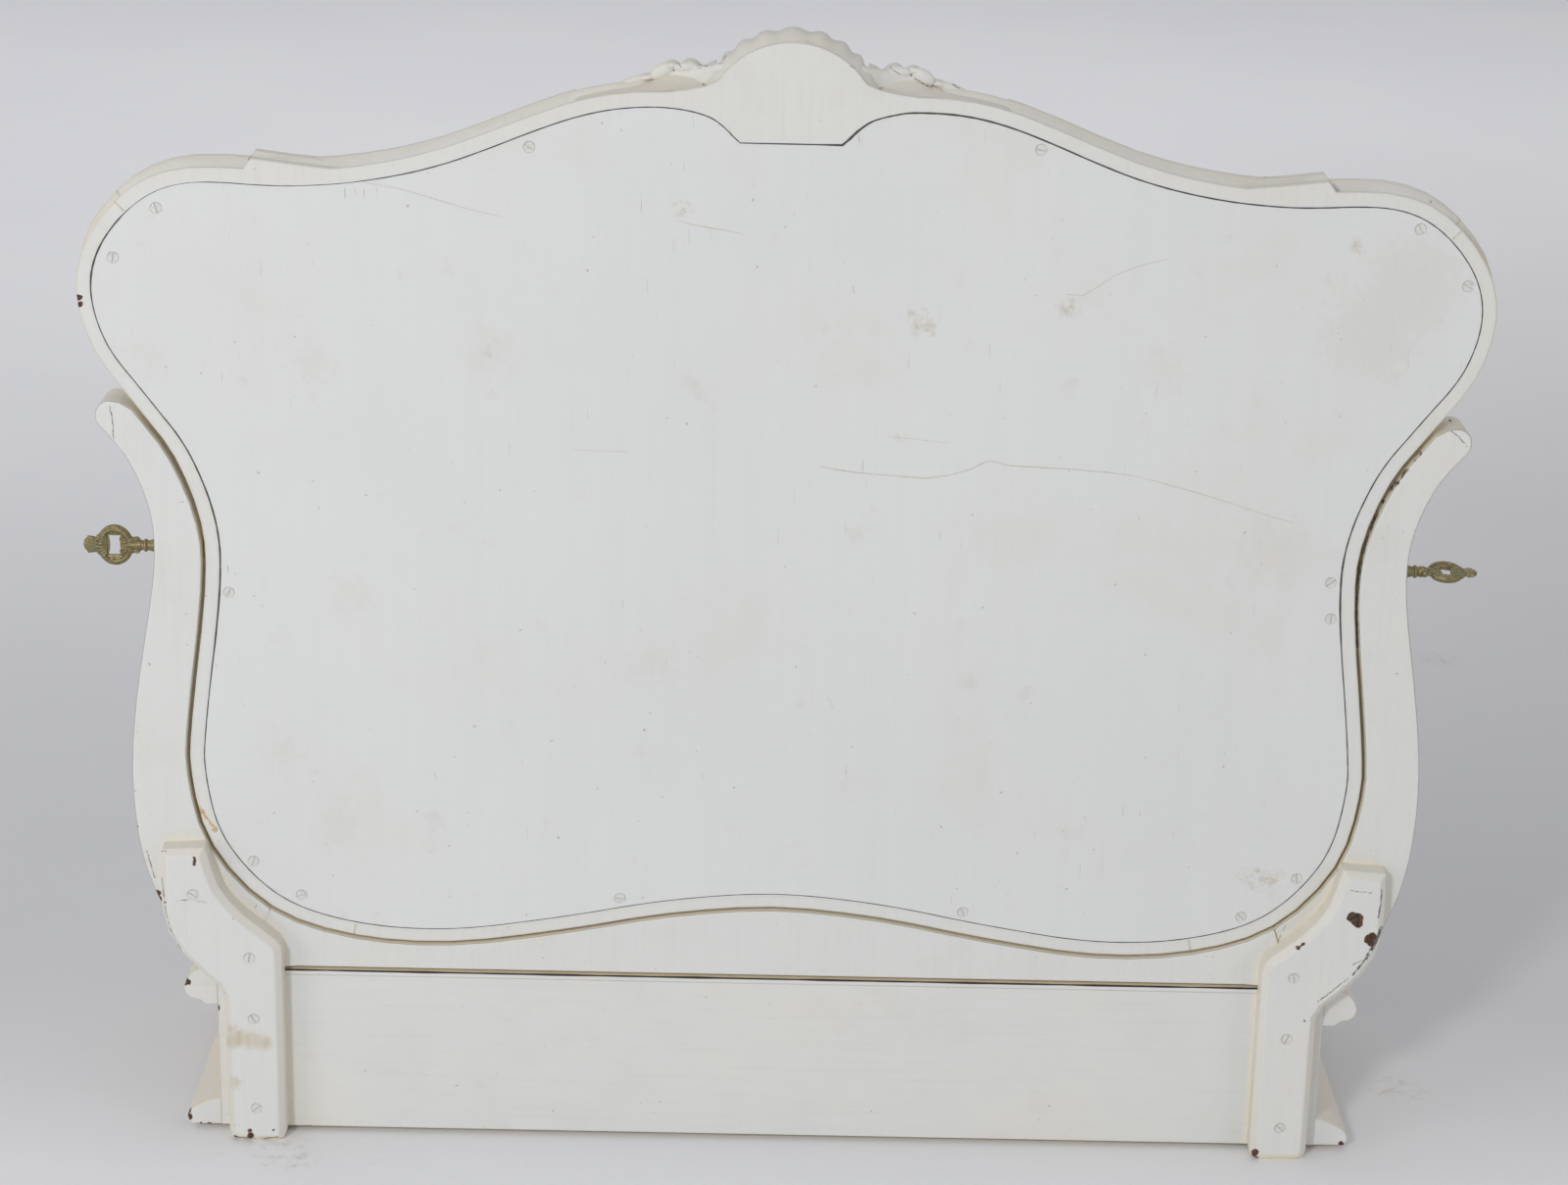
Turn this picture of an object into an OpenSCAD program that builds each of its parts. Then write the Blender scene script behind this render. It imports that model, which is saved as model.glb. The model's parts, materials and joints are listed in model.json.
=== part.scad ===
// Tabletop vanity: a tilting mirror hung between the arms of a harp, which
// stands on a low case with three drawers. The front faces -Y and right is +X.

/* [Case] */
// Width of the case over its side panels
case_w = 830; // [700:1:1000]
// Depth of the case from the back board to the front corners
case_d = 230; // [200:1:300]
// Height of the case from the table to the top surface
case_h = 134; // [120:1:180]
// How far the middle of the serpentine front stands out
front_bow = 20; // [8:1:30]
// Thickness of the top board, which is also the height of its moulding
top_t = 30; // [26:1:36]
// Thickness of the bottom board
bottom_t = 26; // [24:1:34]
// Thickness of the side panels
side_t = 16; // [12:1:22]
// Thickness of the two dividers between the drawers
divider_t = 14; // [10:1:20]
// Thickness of the back board
back_t = 12; // [8:1:16]
// Strip of the top board that shows above the back board
back_lap = 4; // [2:1:8]
// Height of the shadow gap under the back board and the lower moulding
plinth_gap = 4; // [2:1:6]
// How far the mouldings stand out from the case
moulding_out = 25; // [20:1:30]

/* [Drawers] */
// Thickness of the drawer sides and back
drawer_wall = 9; // [7:1:12]
// Thickness of the drawer bottoms
drawer_floor = 4; // [3:1:6]
// Thickness of the thinnest part of a drawer front
drawer_front_t = 18; // [14:1:22]
// Gap on each side of a drawer
drawer_gap = 1.2; // [0.8:0.1:2]
// Gap under a drawer, on which it runs
drawer_run = 0.3; // [0.2:0.1:0.5]
// Gap over a drawer
drawer_head = 1.5; // [1:0.1:3]
// Gap between a closed drawer and the back board
drawer_back_gap = 8; // [4:1:20]
// Diameter of a drawer knob
knob_d = 22; // [16:1:28]

/* [Mirror] */
// How much wider than the case the back panel is across its widest lobes
mirror_over = 144; // [100:1:200]
// Height of the back panel from its lowest to its highest point
mirror_h = 619; // [560:1:680]
// Height of the lowest point of the back panel above the case
mirror_lift = 36; // [32:1:60]
// Width of the frame's rim that shows around the back panel
rim = 10.5; // [8:0.5:14]
// Thickness of the mirror frame
frame_t = 33; // [30:1:38]
// Width of the frame from the back panel's edge to the glass
frame_in = 34; // [30:1:38]
// Width of the ledge that the glass rests on
glass_ledge = 10; // [7:1:12]
// Thickness of the back panel
panel_t = 5; // [4:1:6]
// Thickness of the mirror glass
glass_t = 4; // [3:1:5]
// Gap between the back panel and the frame
panel_gap = 1; // [0.5:0.1:1.5]
// Thickness of the flat back of the mirror frame
rim_t = 4; // [3:0.5:6]
// How far the frame's front moulding stands out past its back
bead_out = 3.8; // [0:0.2:5]
// Radius of the flat arch behind the shell
arch_r = 61; // [54:1:66]
// Radius of the carved shell
shell_r = 67.5; // [60:0.5:72]

/* [Harp] */
// Gap between the mirror frame and the harp
harp_gap = 2.8; // [2.4:0.2:8]
// Width of a harp arm at the mirror's pivot
arm_w = 34; // [28:1:44]
// Depth of the harp from back to front
harp_d = 42; // [38:1:50]
// Height of the mirror's pivot above the case
pivot_lift = 326; // [316:1:336]
// Thickness of the two back braces
brace_t = 20; // [16:1:24]
// Width of a brace over its leg
brace_w = 43; // [38:1:50]
// Width of the chamfer around a brace
brace_bevel = 5; // [4:0.5:8]
// How far the braces reach above the case
brace_lift = 104; // [98:1:116]
// Gap under the harp's rail
rail_gap = 2.5; // [1:0.5:4]
// Length of each end of the rail that stands on the case
rail_seat = 34; // [20:1:60]

/* [Hardware] */
// Diameter of the key's shank
shank_d = 6; // [5:0.5:8]
// Radial clearance of the shank in its bush
shank_clear = 0.08; // [0.05:0.01:0.1]
// Wall of the pivot bush
bush_wall = 2; // [1.5:0.1:3]
// Outer diameter of the threaded insert in the frame
insert_d = 12; // [10:1:14]
// Length of the threaded insert
insert_l = 14; // [10:1:18]
// Radial clearance of a pressed or screwed piece in its hole
fit_clear = 0.05; // [0.03:0.01:0.1]
// Diameter of the screw heads on the braces and the panel
screw_head_d = 7.6; // [6:0.2:9]
// Diameter of the screw shanks
screw_d = 4; // [3:0.2:5]
// Turn of the left key about its shank
left_key_turn = -85; // [-90:1:90]

/* [Hidden] */

$fn = 48;
paint = "floralwhite";
brass = "darkgoldenrod";
bare_wood = "burlywood";

// The case stands on the table at z = 0, with its back board at y = back_y.
back_y = case_d / 2;
side_x = case_w / 2;
carcass_back = back_y - back_t;
opening_h = case_h - top_t - bottom_t;
bay_w = (case_w - 2 * side_t - 2 * divider_t) / 3;
bay_x = bay_w + divider_t;

front_steps = 36;
function front_y(x) = -case_d / 2 - front_bow * (0.5 + 0.5 * cos(540 * x / case_w));
function front_curve(x0, x1, n) = [for (i = [0:n]) let (x = x0 + (x1 - x0) * i / n) [x, front_y(x)]];
function board_plan(y1) = concat(front_curve(-side_x, side_x, front_steps),
    [[side_x, y1], [-side_x, y1]]);

function unit(v) = v / norm(v);
function knot(p, a, b, c, d, t) = 0.5 * (2 * p[b] + (p[c] - p[a]) * t
    + (2 * p[a] - 5 * p[b] + 4 * p[c] - p[d]) * t * t
    + (3 * p[b] - p[a] - 3 * p[c] + p[d]) * t * t * t);
function closed_curve(p, n) = let (m = len(p)) [for (i = [0:m - 1], k = [0:n - 1])
    knot(p, (i + m - 1) % m, i, (i + 1) % m, (i + 2) % m, k / n)];
function reversed(p) = [for (i = [len(p) - 1:-1:0]) p[i]];
function symmetric(half) = let (m = len(half))
    concat(half, [for (i = [m - 2:-1:1]) [-half[i].x, half[i].y]]);

// Unit normal to the left of the way through a closed list of points.
function closed_normal(p, i) = let (m = len(p), t = unit(p[(i + 1) % m] - p[(i + m - 1) % m]))
    [-t.y, t.x];

// Corner of a closed outline moved inward by d, with square corners kept square.
function corner_inset(p, i, d) = let (m = len(p),
    a = unit(p[i] - p[(i + m - 1) % m]), b = unit(p[(i + 1) % m] - p[i]),
    n = unit([-a.y - b.y, a.x + b.x]), c = max(n * [-a.y, a.x], 0.5))
    p[i] + n * d / c;

// Skin between rings of points, as triangles: every ring has the same count.
function ring_skin(m, n) = [for (j = [0:n - 2], i = [0:m - 1])
    let (a = j * m + i, b = j * m + (i + 1) % m, c = (j + 1) * m)
    each [[a, b, c + (i + 1) % m], [a, c + (i + 1) % m, c + i]]];

// Solid swept through rings, closed at each end round a hub inside its ring.
module ring_solid(rings, first_hub, last_hub) {
    m = len(rings[0]);
    n = len(rings);
    ends = [for (i = [0:m - 1]) each [[n * m, (i + 1) % m, i],
        [n * m + 1, (n - 1) * m + i, (n - 1) * m + (i + 1) % m]]];
    polyhedron(concat([for (r = rings) each r], [first_hub, last_hub]),
        concat(ring_skin(m, n), ends), convexity = 8);
}

// Band between two edges of equal count, with a moulded rim: the first edge
// runs with the band on its left, and each step of the rim is [inset, height].
module moulded_band(first, second, rim_steps) {
    outline = concat(first, reversed(second));
    m = len(outline);
    n = len(rim_steps);
    faces = [for (i = [0:m / 2 - 2])
        let (a = i, b = i + 1, c = m - 2 - i, d = m - 1 - i, t = (n - 1) * m)
        each [[c, b, a], [d, c, a], [t + a, t + b, t + c], [t + a, t + c, t + d]]];
    polyhedron([for (e = reversed(rim_steps), i = [0:m - 1])
        let (q = corner_inset(outline, i, e.x)) [q.x, q.y, e.y]],
        concat(ring_skin(m, n), faces), convexity = 8);
}

// Turns a drawing in X and Y to stand in X and Z, with the extrusion toward -Y.
module upright(y) {
    translate([0, y, 0]) rotate([90, 0, 0]) children();
}

module base_bottom_board() {
    color(bare_wood) linear_extrude(bottom_t) polygon(board_plan(carcass_back));
}

module base_top_board() {
    color(paint) difference() {
        translate([0, 0, case_h - top_t]) linear_extrude(top_t) polygon(board_plan(back_y));
        translate([-case_w, carcass_back, 0]) cube([2 * case_w, 2 * back_t, case_h - back_lap]);
    }
}

module base_back_board() {
    color(paint) difference() {
        translate([-side_x, carcass_back, plinth_gap])
            cube([case_w, back_t, case_h - back_lap - plinth_gap]);
        for (side = [-1, 1], k = [2, 3])
            brace_screw_place(side, k) pilot_hole(brace_t + screw_bite);
    }
}

module side_panel(side) {
    x0 = side > 0 ? side_x - side_t : -side_x;
    color(paint) translate([0, 0, bottom_t]) linear_extrude(opening_h)
        polygon(concat(front_curve(x0, x0 + side_t, 2),
            [[x0 + side_t, carcass_back], [x0, carcass_back]]));
}

module base_left_side() { side_panel(-1); }
module base_right_side() { side_panel(1); }

module divider(side) {
    x0 = side * bay_x / 2 - divider_t / 2;
    color(bare_wood) translate([0, 0, bottom_t]) linear_extrude(opening_h)
        polygon(concat(front_curve(x0, x0 + divider_t, 2),
            [[x0 + divider_t, carcass_back], [x0, carcass_back]]));
}

module left_divider() { divider(-1); }
module right_divider() { divider(1); }

// Edge mouldings: [distance out from the case, height], from the wall round to the wall.
nose = moulding_out;
top_edge = [[0, case_h - top_t], [nose - 16, case_h - top_t], [nose - 11, case_h - top_t + 4],
    [nose - 5, case_h - top_t + 5], [nose - 1, case_h - top_t + 9], [nose, case_h - top_t + 14],
    [nose - 2, case_h - top_t + 20], [nose - 7, case_h - 4], [nose - 14, case_h], [0, case_h]];
bottom_edge = [[0, plinth_gap], [nose - 2, plinth_gap], [nose, plinth_gap + 3],
    [nose + 1, plinth_gap + 7], [nose - 3, plinth_gap + 13], [nose - 10, bottom_t - 5],
    [nose - 18, bottom_t - 1.5], [0, bottom_t]];

module moulding_side(edge, side) {
    corner_y = front_y(side_x);
    color(paint) difference() {
        translate([side * side_x, back_y, 0]) rotate([90, 0, 0])
            linear_extrude(case_d + front_bow + 2 * nose)
                polygon([for (e = edge) [side * e.x, e.y]]);
        translate([side * side_x, corner_y, -1]) rotate([0, 0, side > 0 ? -45 : 225])
            translate([-case_d, side > 0 ? -case_d * 2 : 0, 0])
                cube([3 * case_d, 2 * case_d, case_h + 2]);
    }
}

// The front moulding is swept along the serpentine, with its ends on the mitres.
function mitre_normal(i) = let (x = -side_x + case_w * i / front_steps,
    e = 0.5, t = unit([2 * e, front_y(x + e) - front_y(x - e)]))
    i == 0 ? [-1, -1] : i == front_steps ? [1, -1] : [t.y, -t.x];

function on_front(i, e) = let (x = -side_x + case_w * i / front_steps, n = mitre_normal(i))
    [x + n.x * e.x, front_y(x) + n.y * e.x, e.y];

module moulding_front(edge) {
    hub = [moulding_out / 3, (edge[0].y + edge[len(edge) - 1].y) / 2];
    color(paint) ring_solid([for (i = [0:front_steps]) [for (e = edge) on_front(i, e)]],
        on_front(0, hub), on_front(front_steps, hub));
}

module top_moulding_front() { moulding_front(top_edge); }
module top_moulding_left() { moulding_side(top_edge, -1); }
module top_moulding_right() { moulding_side(top_edge, 1); }
module bottom_moulding_front() { moulding_front(bottom_edge); }
module bottom_moulding_left() { moulding_side(bottom_edge, -1); }
module bottom_moulding_right() { moulding_side(bottom_edge, 1); }

// Each drawer is drawn in its own bay, counted -1, 0 and 1 from the left.

drawer_w = bay_w - 2 * drawer_gap;
drawer_z = bottom_t + drawer_run;
drawer_h = opening_h - drawer_run - drawer_head;
drawer_end = carcass_back - drawer_back_gap;
side_drop = 6;
floor_rise = 4;
drawer_floor_z = drawer_z + floor_rise;
knob_shank_d = 6;
knob_bite = 12;
rosette = 0.9;

// Flat inner face of a drawer front.
function front_inner(bay) = max([for (s = [-1, -0.5, 0, 0.5, 1])
    front_y(bay * bay_x + s * drawer_w / 2)]) + drawer_front_t;

module drawer_front(bay) {
    x0 = bay * bay_x - drawer_w / 2;
    inner = front_inner(bay);
    color(paint) difference() {
        translate([0, 0, drawer_z]) linear_extrude(drawer_h)
            polygon(concat(front_curve(x0, x0 + drawer_w, 12), [[x0 + drawer_w, inner], [x0, inner]]));
        translate([bay * bay_x, front_y(bay * bay_x), drawer_z + drawer_h / 2]) rotate([-90, 0, 0]) {
            cylinder(d = knob_shank_d + 2 * fit_clear, h = knob_bite);
            translate([0, 0, -front_bow]) cylinder(d = rosette * knob_d + 1, h = front_bow);
        }
    }
}

module drawer_side(bay, side) {
    inner = front_inner(bay);
    color(bare_wood)
        translate([bay * bay_x + side * (drawer_w - drawer_wall) / 2 - drawer_wall / 2, inner, drawer_z])
            cube([drawer_wall, drawer_end - inner, drawer_h - side_drop]);
}

module drawer_back(bay) {
    color(bare_wood)
        translate([bay * bay_x - drawer_w / 2 + drawer_wall, drawer_end - drawer_wall, drawer_floor_z])
            cube([drawer_w - 2 * drawer_wall, drawer_wall, drawer_h - side_drop - floor_rise]);
}

module drawer_bottom(bay) {
    inner = front_inner(bay);
    color(bare_wood) translate([bay * bay_x - drawer_w / 2 + drawer_wall, inner, drawer_floor_z])
        cube([drawer_w - 2 * drawer_wall, drawer_end - drawer_wall - inner, drawer_floor]);
}

// Turned knob: a rosette, a neck and a domed head, with a screw into the front.
module drawer_knob(bay) {
    r = knob_d / 2;
    color(brass) translate([bay * bay_x, front_y(bay * bay_x), drawer_z + drawer_h / 2])
        rotate([90, 0, 0]) rotate_extrude()
            polygon([[0, -knob_bite], [knob_shank_d / 2, -knob_bite], [knob_shank_d / 2, 0],
                [r * rosette, 0], [r * rosette, 1.5], [r * 0.6, 3], [r * 0.35, 5], [r * 0.32, 9],
                [r * 0.7, 12], [r, 15], [r * 0.97, 18], [r * 0.7, 21], [r * 0.3, 22.5], [0, 22.8]]);
}

module left_drawer_front() { drawer_front(-1); }
module left_drawer_left_side() { drawer_side(-1, -1); }
module left_drawer_right_side() { drawer_side(-1, 1); }
module left_drawer_back() { drawer_back(-1); }
module left_drawer_bottom() { drawer_bottom(-1); }
module left_drawer_knob() { drawer_knob(-1); }
module middle_drawer_front() { drawer_front(0); }
module middle_drawer_left_side() { drawer_side(0, -1); }
module middle_drawer_right_side() { drawer_side(0, 1); }
module middle_drawer_back() { drawer_back(0); }
module middle_drawer_bottom() { drawer_bottom(0); }
module middle_drawer_knob() { drawer_knob(0); }
module right_drawer_front() { drawer_front(1); }
module right_drawer_left_side() { drawer_side(1, -1); }
module right_drawer_right_side() { drawer_side(1, 1); }
module right_drawer_back() { drawer_back(1); }
module right_drawer_bottom() { drawer_bottom(1); }
module right_drawer_knob() { drawer_knob(1); }

// Right half of the back panel's edge, from the top centre round to the bottom
// centre. The drawing is stretched to the panel's width, height and place.
edge_half = [[0, 786], [56, 788], [108, 789], [156, 779], [236, 748], [294, 734], [350, 729],
    [414, 730], [450, 717], [478, 686], [487, 652], [477, 613], [450, 575], [423, 536],
    [405, 484], [404, 430], [416, 335], [418, 290], [405, 238], [366, 194], [310, 174],
    [240, 170], [160, 181], [80, 196], [0, 203]];
corner_joint = 8.3;
foot_joint = 20;
arm_top = 12;
arm_foot = 19;
curve_steps = 3;
corner_step = round(corner_joint * curve_steps);
mirror_w = case_w + mirror_over;
mirror_foot = case_h + mirror_lift;
pivot_h = case_h + pivot_lift;
side_scale = mirror_w / 2 / max([for (p = edge_half) p.x]);
edge_low = min([for (p = edge_half) p.y]);
rise_scale = mirror_h / (max([for (p = edge_half) p.y]) - edge_low);
function to_size(p) = [p.x * side_scale, mirror_foot + (p.y - edge_low) * rise_scale];
panel_edge = closed_curve(symmetric([for (p = edge_half) to_size(p)]), curve_steps);
edge_count = len(panel_edge);
function off_edge(i, d) = panel_edge[i % edge_count]
    + closed_normal(panel_edge, i % edge_count) * d;
function edge_offset(d) = [for (i = [0:edge_count - 1]) off_edge(i, d)];

// Section of the frame: [distance out from the panel's edge, depth from the back].
rebate = panel_gap / 2;
glass_edge = frame_in - glass_ledge;
function frame_section(out) = [[rim, 0], [rebate, 0], [rebate, panel_t], [-glass_edge, panel_t],
    [-glass_edge, panel_t + glass_t], [-frame_in, panel_t + glass_t],
    [-frame_in, frame_t - 19], [3 - frame_in, frame_t - 16], [7 - frame_in, frame_t - 15.5],
    [14 - frame_in, frame_t - 13], [22 - frame_in, frame_t - 8], [25 - frame_in, frame_t - 4],
    [rim - 13, frame_t - 1], [rim - 5, frame_t], [rim - 1 + out, frame_t - 1.5],
    [rim + out, frame_t - 5], [rim + out, frame_t - 9], [rim - 1.5 + 0.9 * out, frame_t - 12],
    [rim - 3.6, frame_t - 15], [rim - 5, frame_t - 20], [rim - 4.4, rim_t + 3], [rim, rim_t]];

// The front moulding stands out around the top, and draws in where the arms begin.
function bead(i) = let (k = i % edge_count, from_top = min(k, edge_count - k) / curve_steps)
    bead_out * lookup(from_top, [[arm_top - 3, 1], [arm_top - 1.2, 0]]);

frame_hub = [rebate + 2, frame_t / 2];
function on_frame(i, s) = let (q = off_edge(i, s.x)) [q.x, back_y - s.y, q.y];
function frame_ring(i) = [for (s = frame_section(bead(i))) on_frame(i, s)];

module frame_run(first, last) {
    ring_solid([for (i = [first:last]) frame_ring(i)],
        on_frame(first, frame_hub), on_frame(last, frame_hub));
}

pivot_y = back_y - frame_t / 2;

// Half width of the panel's edge at the height of the pivot.
function edge_x_at(z) = let (right = [for (i = [arm_top * curve_steps:foot_joint * curve_steps])
    [panel_edge[i].y, panel_edge[i].x]]) lookup(z, right);
frame_x = edge_x_at(pivot_h) + rim;
harp_x = frame_x + harp_gap;

module insert_place(side) {
    translate([side * frame_x, pivot_y, pivot_h]) rotate([0, -side * 90, 0]) children();
}

// A round pad fills the cove of the stile where the insert sits.
pad_w = 5;
module stile(side) {
    steps = [corner_step, foot_joint * curve_steps];
    color(paint) difference() {
        union() {
            frame_run(side > 0 ? steps[0] : edge_count - steps[1],
                side > 0 ? steps[1] : edge_count - steps[0]);
            insert_place(side) cylinder(d = insert_d + 2 * pad_w, h = insert_l);
        }
        panel_pilots();
        insert_place(side) translate([0, 0, -5])
            cylinder(d = insert_d + 2 * fit_clear, h = insert_l + 5);
    }
}

module mirror_left_stile() { stile(-1); }
module mirror_right_stile() { stile(1); }

module mirror_bottom_rail() {
    color(paint) difference() {
        frame_run(foot_joint * curve_steps, edge_count - foot_joint * curve_steps);
        panel_pilots();
    }
}

// Flat ground for the carvings, and the small shoulders on the top rail.
carve_y = 24;
carve_x = to_size([150, 0]).x;
crest_foot = to_size([0, 776]).y;
shell_z = crest_foot - 1;
notch_half = [[35, 766.5], [39.5, 770.5], [45, 776], [54, 782.7], [62, 785.8], [70, 787.8],
    [77.7, 789], [78.4, 800]];
notch = [for (p = concat(notch_half, reversed([for (q = notch_half) [-q.x, q.y]]))) to_size(p)];
shoulder_t = 9;
shoulder = [[312, 738], [379, 738], [377.5, 741.5], [373, 747.8], [345, 744.4], [312, 741]];
arch_foot = 779;
arch_half = [[86, arch_foot], [90, 799.5], [72, 802], [60, 804.5], [51, 808.4], [45, 815]];
arch_side = [for (p = concat(arch_half, reversed([for (q = arch_half) [-q.x, q.y]]))) to_size(p)];

module notch_shape(grow) {
    polygon([for (i = [0:len(notch) - 1]) corner_inset(notch, i, -grow)]);
}

// Outline of the back panel, with the notch that the crest board fills.
module panel_shape(grow, notch_grow) {
    difference() {
        polygon(edge_offset(grow));
        notch_shape(notch_grow);
    }
}

// The arch is thin at its edge, and the shell wraps round its core.
arch_lip = 4;
arch_core = 50;
shell_foot = to_size([0, 803.2]).y;

module arch_block(near, far, r) {
    intersection() {
        translate([0, shell_z, near]) cylinder(r = r, h = far - near, $fn = 96);
        translate([-2 * arch_r, to_size([0, arch_foot]).y, near])
            cube([4 * arch_r, 2 * arch_r, far - near]);
    }
}

// Room for the shell, from the arch's edge to the plane of the carvings.
module shell_room() {
    difference() {
        translate([0, shell_z, arch_lip])
            cylinder(r = shell_r + 0.4, h = carve_y + 1 - arch_lip, $fn = 96);
        translate([-2 * arch_r, shell_foot - 3 * arch_r, 0]) cube([4 * arch_r, 3 * arch_r, frame_t]);
    }
}

module crest_board() {
    upright(back_y) difference() {
        union() {
            arch_block(0, arch_lip, arch_r);
            arch_block(0, carve_y, arch_core);
            linear_extrude(panel_t) notch_shape(0);
            difference() {
                linear_extrude(carve_y) polygon(arch_side);
                shell_room();
            }
        }
        translate([0, 0, -1]) linear_extrude(panel_t + 1) panel_shape(rebate, 0);
    }
    upright(back_y - panel_t) linear_extrude(glass_t) notch_shape(0);
}

// Hollow slope from the back of the rail up to the leaf sprays.
slope_line = [[44, 806], [53, 810.4], [66, 811.6], [80, 811], [90, 808], [98, 803.6], [110, 800],
    [128, 796.6], [144, 793], [150, 790.6]];
slope_sag = 0.4;
function slope_z(u) = let (e = along(spray_edge, u), q = to_size([e.x, lookup(e.x, slope_line)]))
    max(q.y, rim_z(q.x) - 2);
module spray_slope(side) {
    mirror([side > 0 ? 0 : 1, 0, 0]) difference() {
        ring_solid([for (u = [0:len(spray_edge) - 1]) let (q = to_size(spray_edge[u]), z = rim_z(q.x))
            let (top = slope_z(u))
            [[q.x, back_y - 3, z - 1], [q.x, back_y - 3, z - 6], [q.x, back_y - carve_y, z - 6],
             [q.x, back_y - carve_y, top], [q.x, back_y - 14, z - 1 + slope_sag * (top - z + 1)]]],
            slope_hub(0), slope_hub(len(spray_edge) - 1));
        upright(back_y) shell_room();
    }
}
function slope_hub(u) = let (q = to_size(spray_edge[u])) [q.x, back_y - carve_y / 2, rim_z(q.x) - 4];

// The shoulders step both the back of the frame and its front moulding.
module shoulder_shape(side) {
    polygon([for (p = shoulder) let (q = to_size(p)) [side * q.x, q.y]]);
}

module mirror_top_rail() {
    color(paint) difference() {
        union() {
            frame_run(edge_count - corner_step, edge_count + corner_step);
            crest_board();
            for (side = [-1, 1]) {
                spray_slope(side);
                upright(back_y) linear_extrude(shoulder_t) shoulder_shape(side);
                upright(back_y - frame_t + 12) linear_extrude(shoulder_t)
                    translate([0, 1]) shoulder_shape(side);
            }
        }
        upright(back_y - carve_y) linear_extrude(frame_t)
            translate([-carve_x, crest_foot]) square([2 * carve_x, 2 * arch_r]);
        panel_pilots();
    }
}

module mirror_back_panel() {
    color(paint) difference() {
        upright(back_y) linear_extrude(panel_t) panel_shape(-rebate, panel_gap);
        for (i = [0:len(panel_screw_at) - 1])
            panel_screw_place(i) screw_hole(panel_t + 1);
    }
}

module mirror_glass() {
    color("lightsteelblue") upright(back_y - panel_t) linear_extrude(glass_t)
        polygon(edge_offset(-glass_edge - rebate));
}

// Every screw has its head flush with the face.

head_t = 2.6;
slot_w = 1.1;
slot_depth = 0.9;
screw_bite = 10;

module screw(length) {
    difference() {
        union() {
            cylinder(d = screw_head_d, h = head_t);
            cylinder(d = screw_d, h = length);
        }
        translate([-screw_head_d, -slot_w / 2, -1]) cube([2 * screw_head_d, slot_w, slot_depth + 1]);
    }
}

module pilot_hole(length) {
    cylinder(d = screw_d + 2 * fit_clear, h = length);
}

module screw_hole(length) {
    translate([0, 0, -1]) cylinder(d = screw_head_d + 2 * fit_clear, h = head_t + 1);
    pilot_hole(length);
}

// Screws near the panel's edge: [step along the edge, turn of the slot].

// Screws of the back panel in its drawing: [across, up, turn].
panel_screw_at = [[439.3, 711.5, 75], [470.6, 675.7, 95], [180.6, 760, 30], [-172.5, 765.7, 15],
    [-438.9, 715.7, 60], [-475.4, 675.8, 30], [397.2, 430.9, 120], [-395.6, 455.4, 140],
    [-397.5, 427.9, 90], [385.2, 221.3, 110], [350.2, 194.8, 160], [114.1, 197.2, 10],
    [-140.8, 191.4, 70], [-387.2, 223.8, 85], [-348, 192, 45]];

module panel_screw_place(i) {
    at = panel_screw_at[i];
    q = to_size([at.x, at.y]);
    translate([q.x, back_y, q.y]) rotate([90, 0, 0]) rotate([0, 0, at.z]) children();
}

module panel_pilots() {
    for (i = [0:len(panel_screw_at) - 1])
        panel_screw_place(i) pilot_hole(panel_t + screw_bite + 1);
}

module panel_screws() {
    color(paint) for (i = [0:len(panel_screw_at) - 1])
        panel_screw_place(i) screw(panel_t + screw_bite);
}

// Screws of a brace in its drawing, from the top down: [out from the leg, height, turn].
brace_screw_at = [[43, 202, 30], [2, 152, 100], [0, 102, 60], [0, 28, 140]];

module brace_screw_place(side, k) {
    at = brace_screw_at[k];
    q = brace_point(at);
    translate([side * q.x, back_y + brace_t, q.y])
        rotate([90, 0, 0]) rotate([0, 0, side * at.z]) children();
}

module brace_screws() {
    color(paint) for (side = [-1, 1], k = [0:3])
        brace_screw_place(side, k) screw(brace_t + screw_bite);
}

// Outer edge of the right arm from its foot up to the tip, in the panel's drawing.
arm_pivot = 9;
arm_half = [[428, 144], [443, 165], [456, 190], [466, 220], [471, 255], [472, 295], [468, 340],
    [460, 390], [453, 430], [450, 460], [451, 484], [457, 508], [467, 530], [478, 545],
    [487, 556], [487, 566], [480, 572], [470, 571]];
// The gap to the frame is wider at the arms' tips, where the tilting frame dips.
tip_ease = 1.4;
function harp_off(i) = rim + harp_gap
    + tip_ease * lookup(i / curve_steps, [[arm_top + 1.2, 1], [arm_top + 2.4, 0]]);
arm_grow = arm_w - (to_size(arm_half[arm_pivot]).x - edge_x_at(pivot_h) - rim - harp_gap);
arm_knots = [for (p = arm_half) to_size(p) + [arm_grow, 0]];
arm_steps = 2 * (arm_foot - arm_top) * curve_steps;
function along(p, u) = let (m = len(p), i = min(floor(u), m - 2))
    knot(p, max(i - 1, 0), i, i + 1, min(i + 2, m - 1), u - i);
arm_foot_in = 4;
arm_outer = concat([[arm_knots[0].x - arm_foot_in, case_h]],
    [for (k = [0:arm_steps]) along(arm_knots, k * (len(arm_knots) - 1) / arm_steps)]);
inner_last = arm_foot * curve_steps;
function harp_edge(i) = off_edge(i, harp_off(i));
function arm_inner_at(k) = let (i = inner_last - floor(k / 2))
    k % 2 == 0 ? harp_edge(i) : (harp_edge(i) + harp_edge(i - 1)) / 2;
arm_foot_out = 16;
foot_x = arm_inner_at(0).x + arm_foot_out;
arm_inner = concat([[foot_x, case_h]], [for (k = [0:arm_steps]) arm_inner_at(k)]);
soft_edge = 0.8;
arm_edge = [[soft_edge, 0], [0, soft_edge], [0, harp_d - 8], [2, harp_d - 7], [2.5, harp_d - 3],
    [5, harp_d]];

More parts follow.
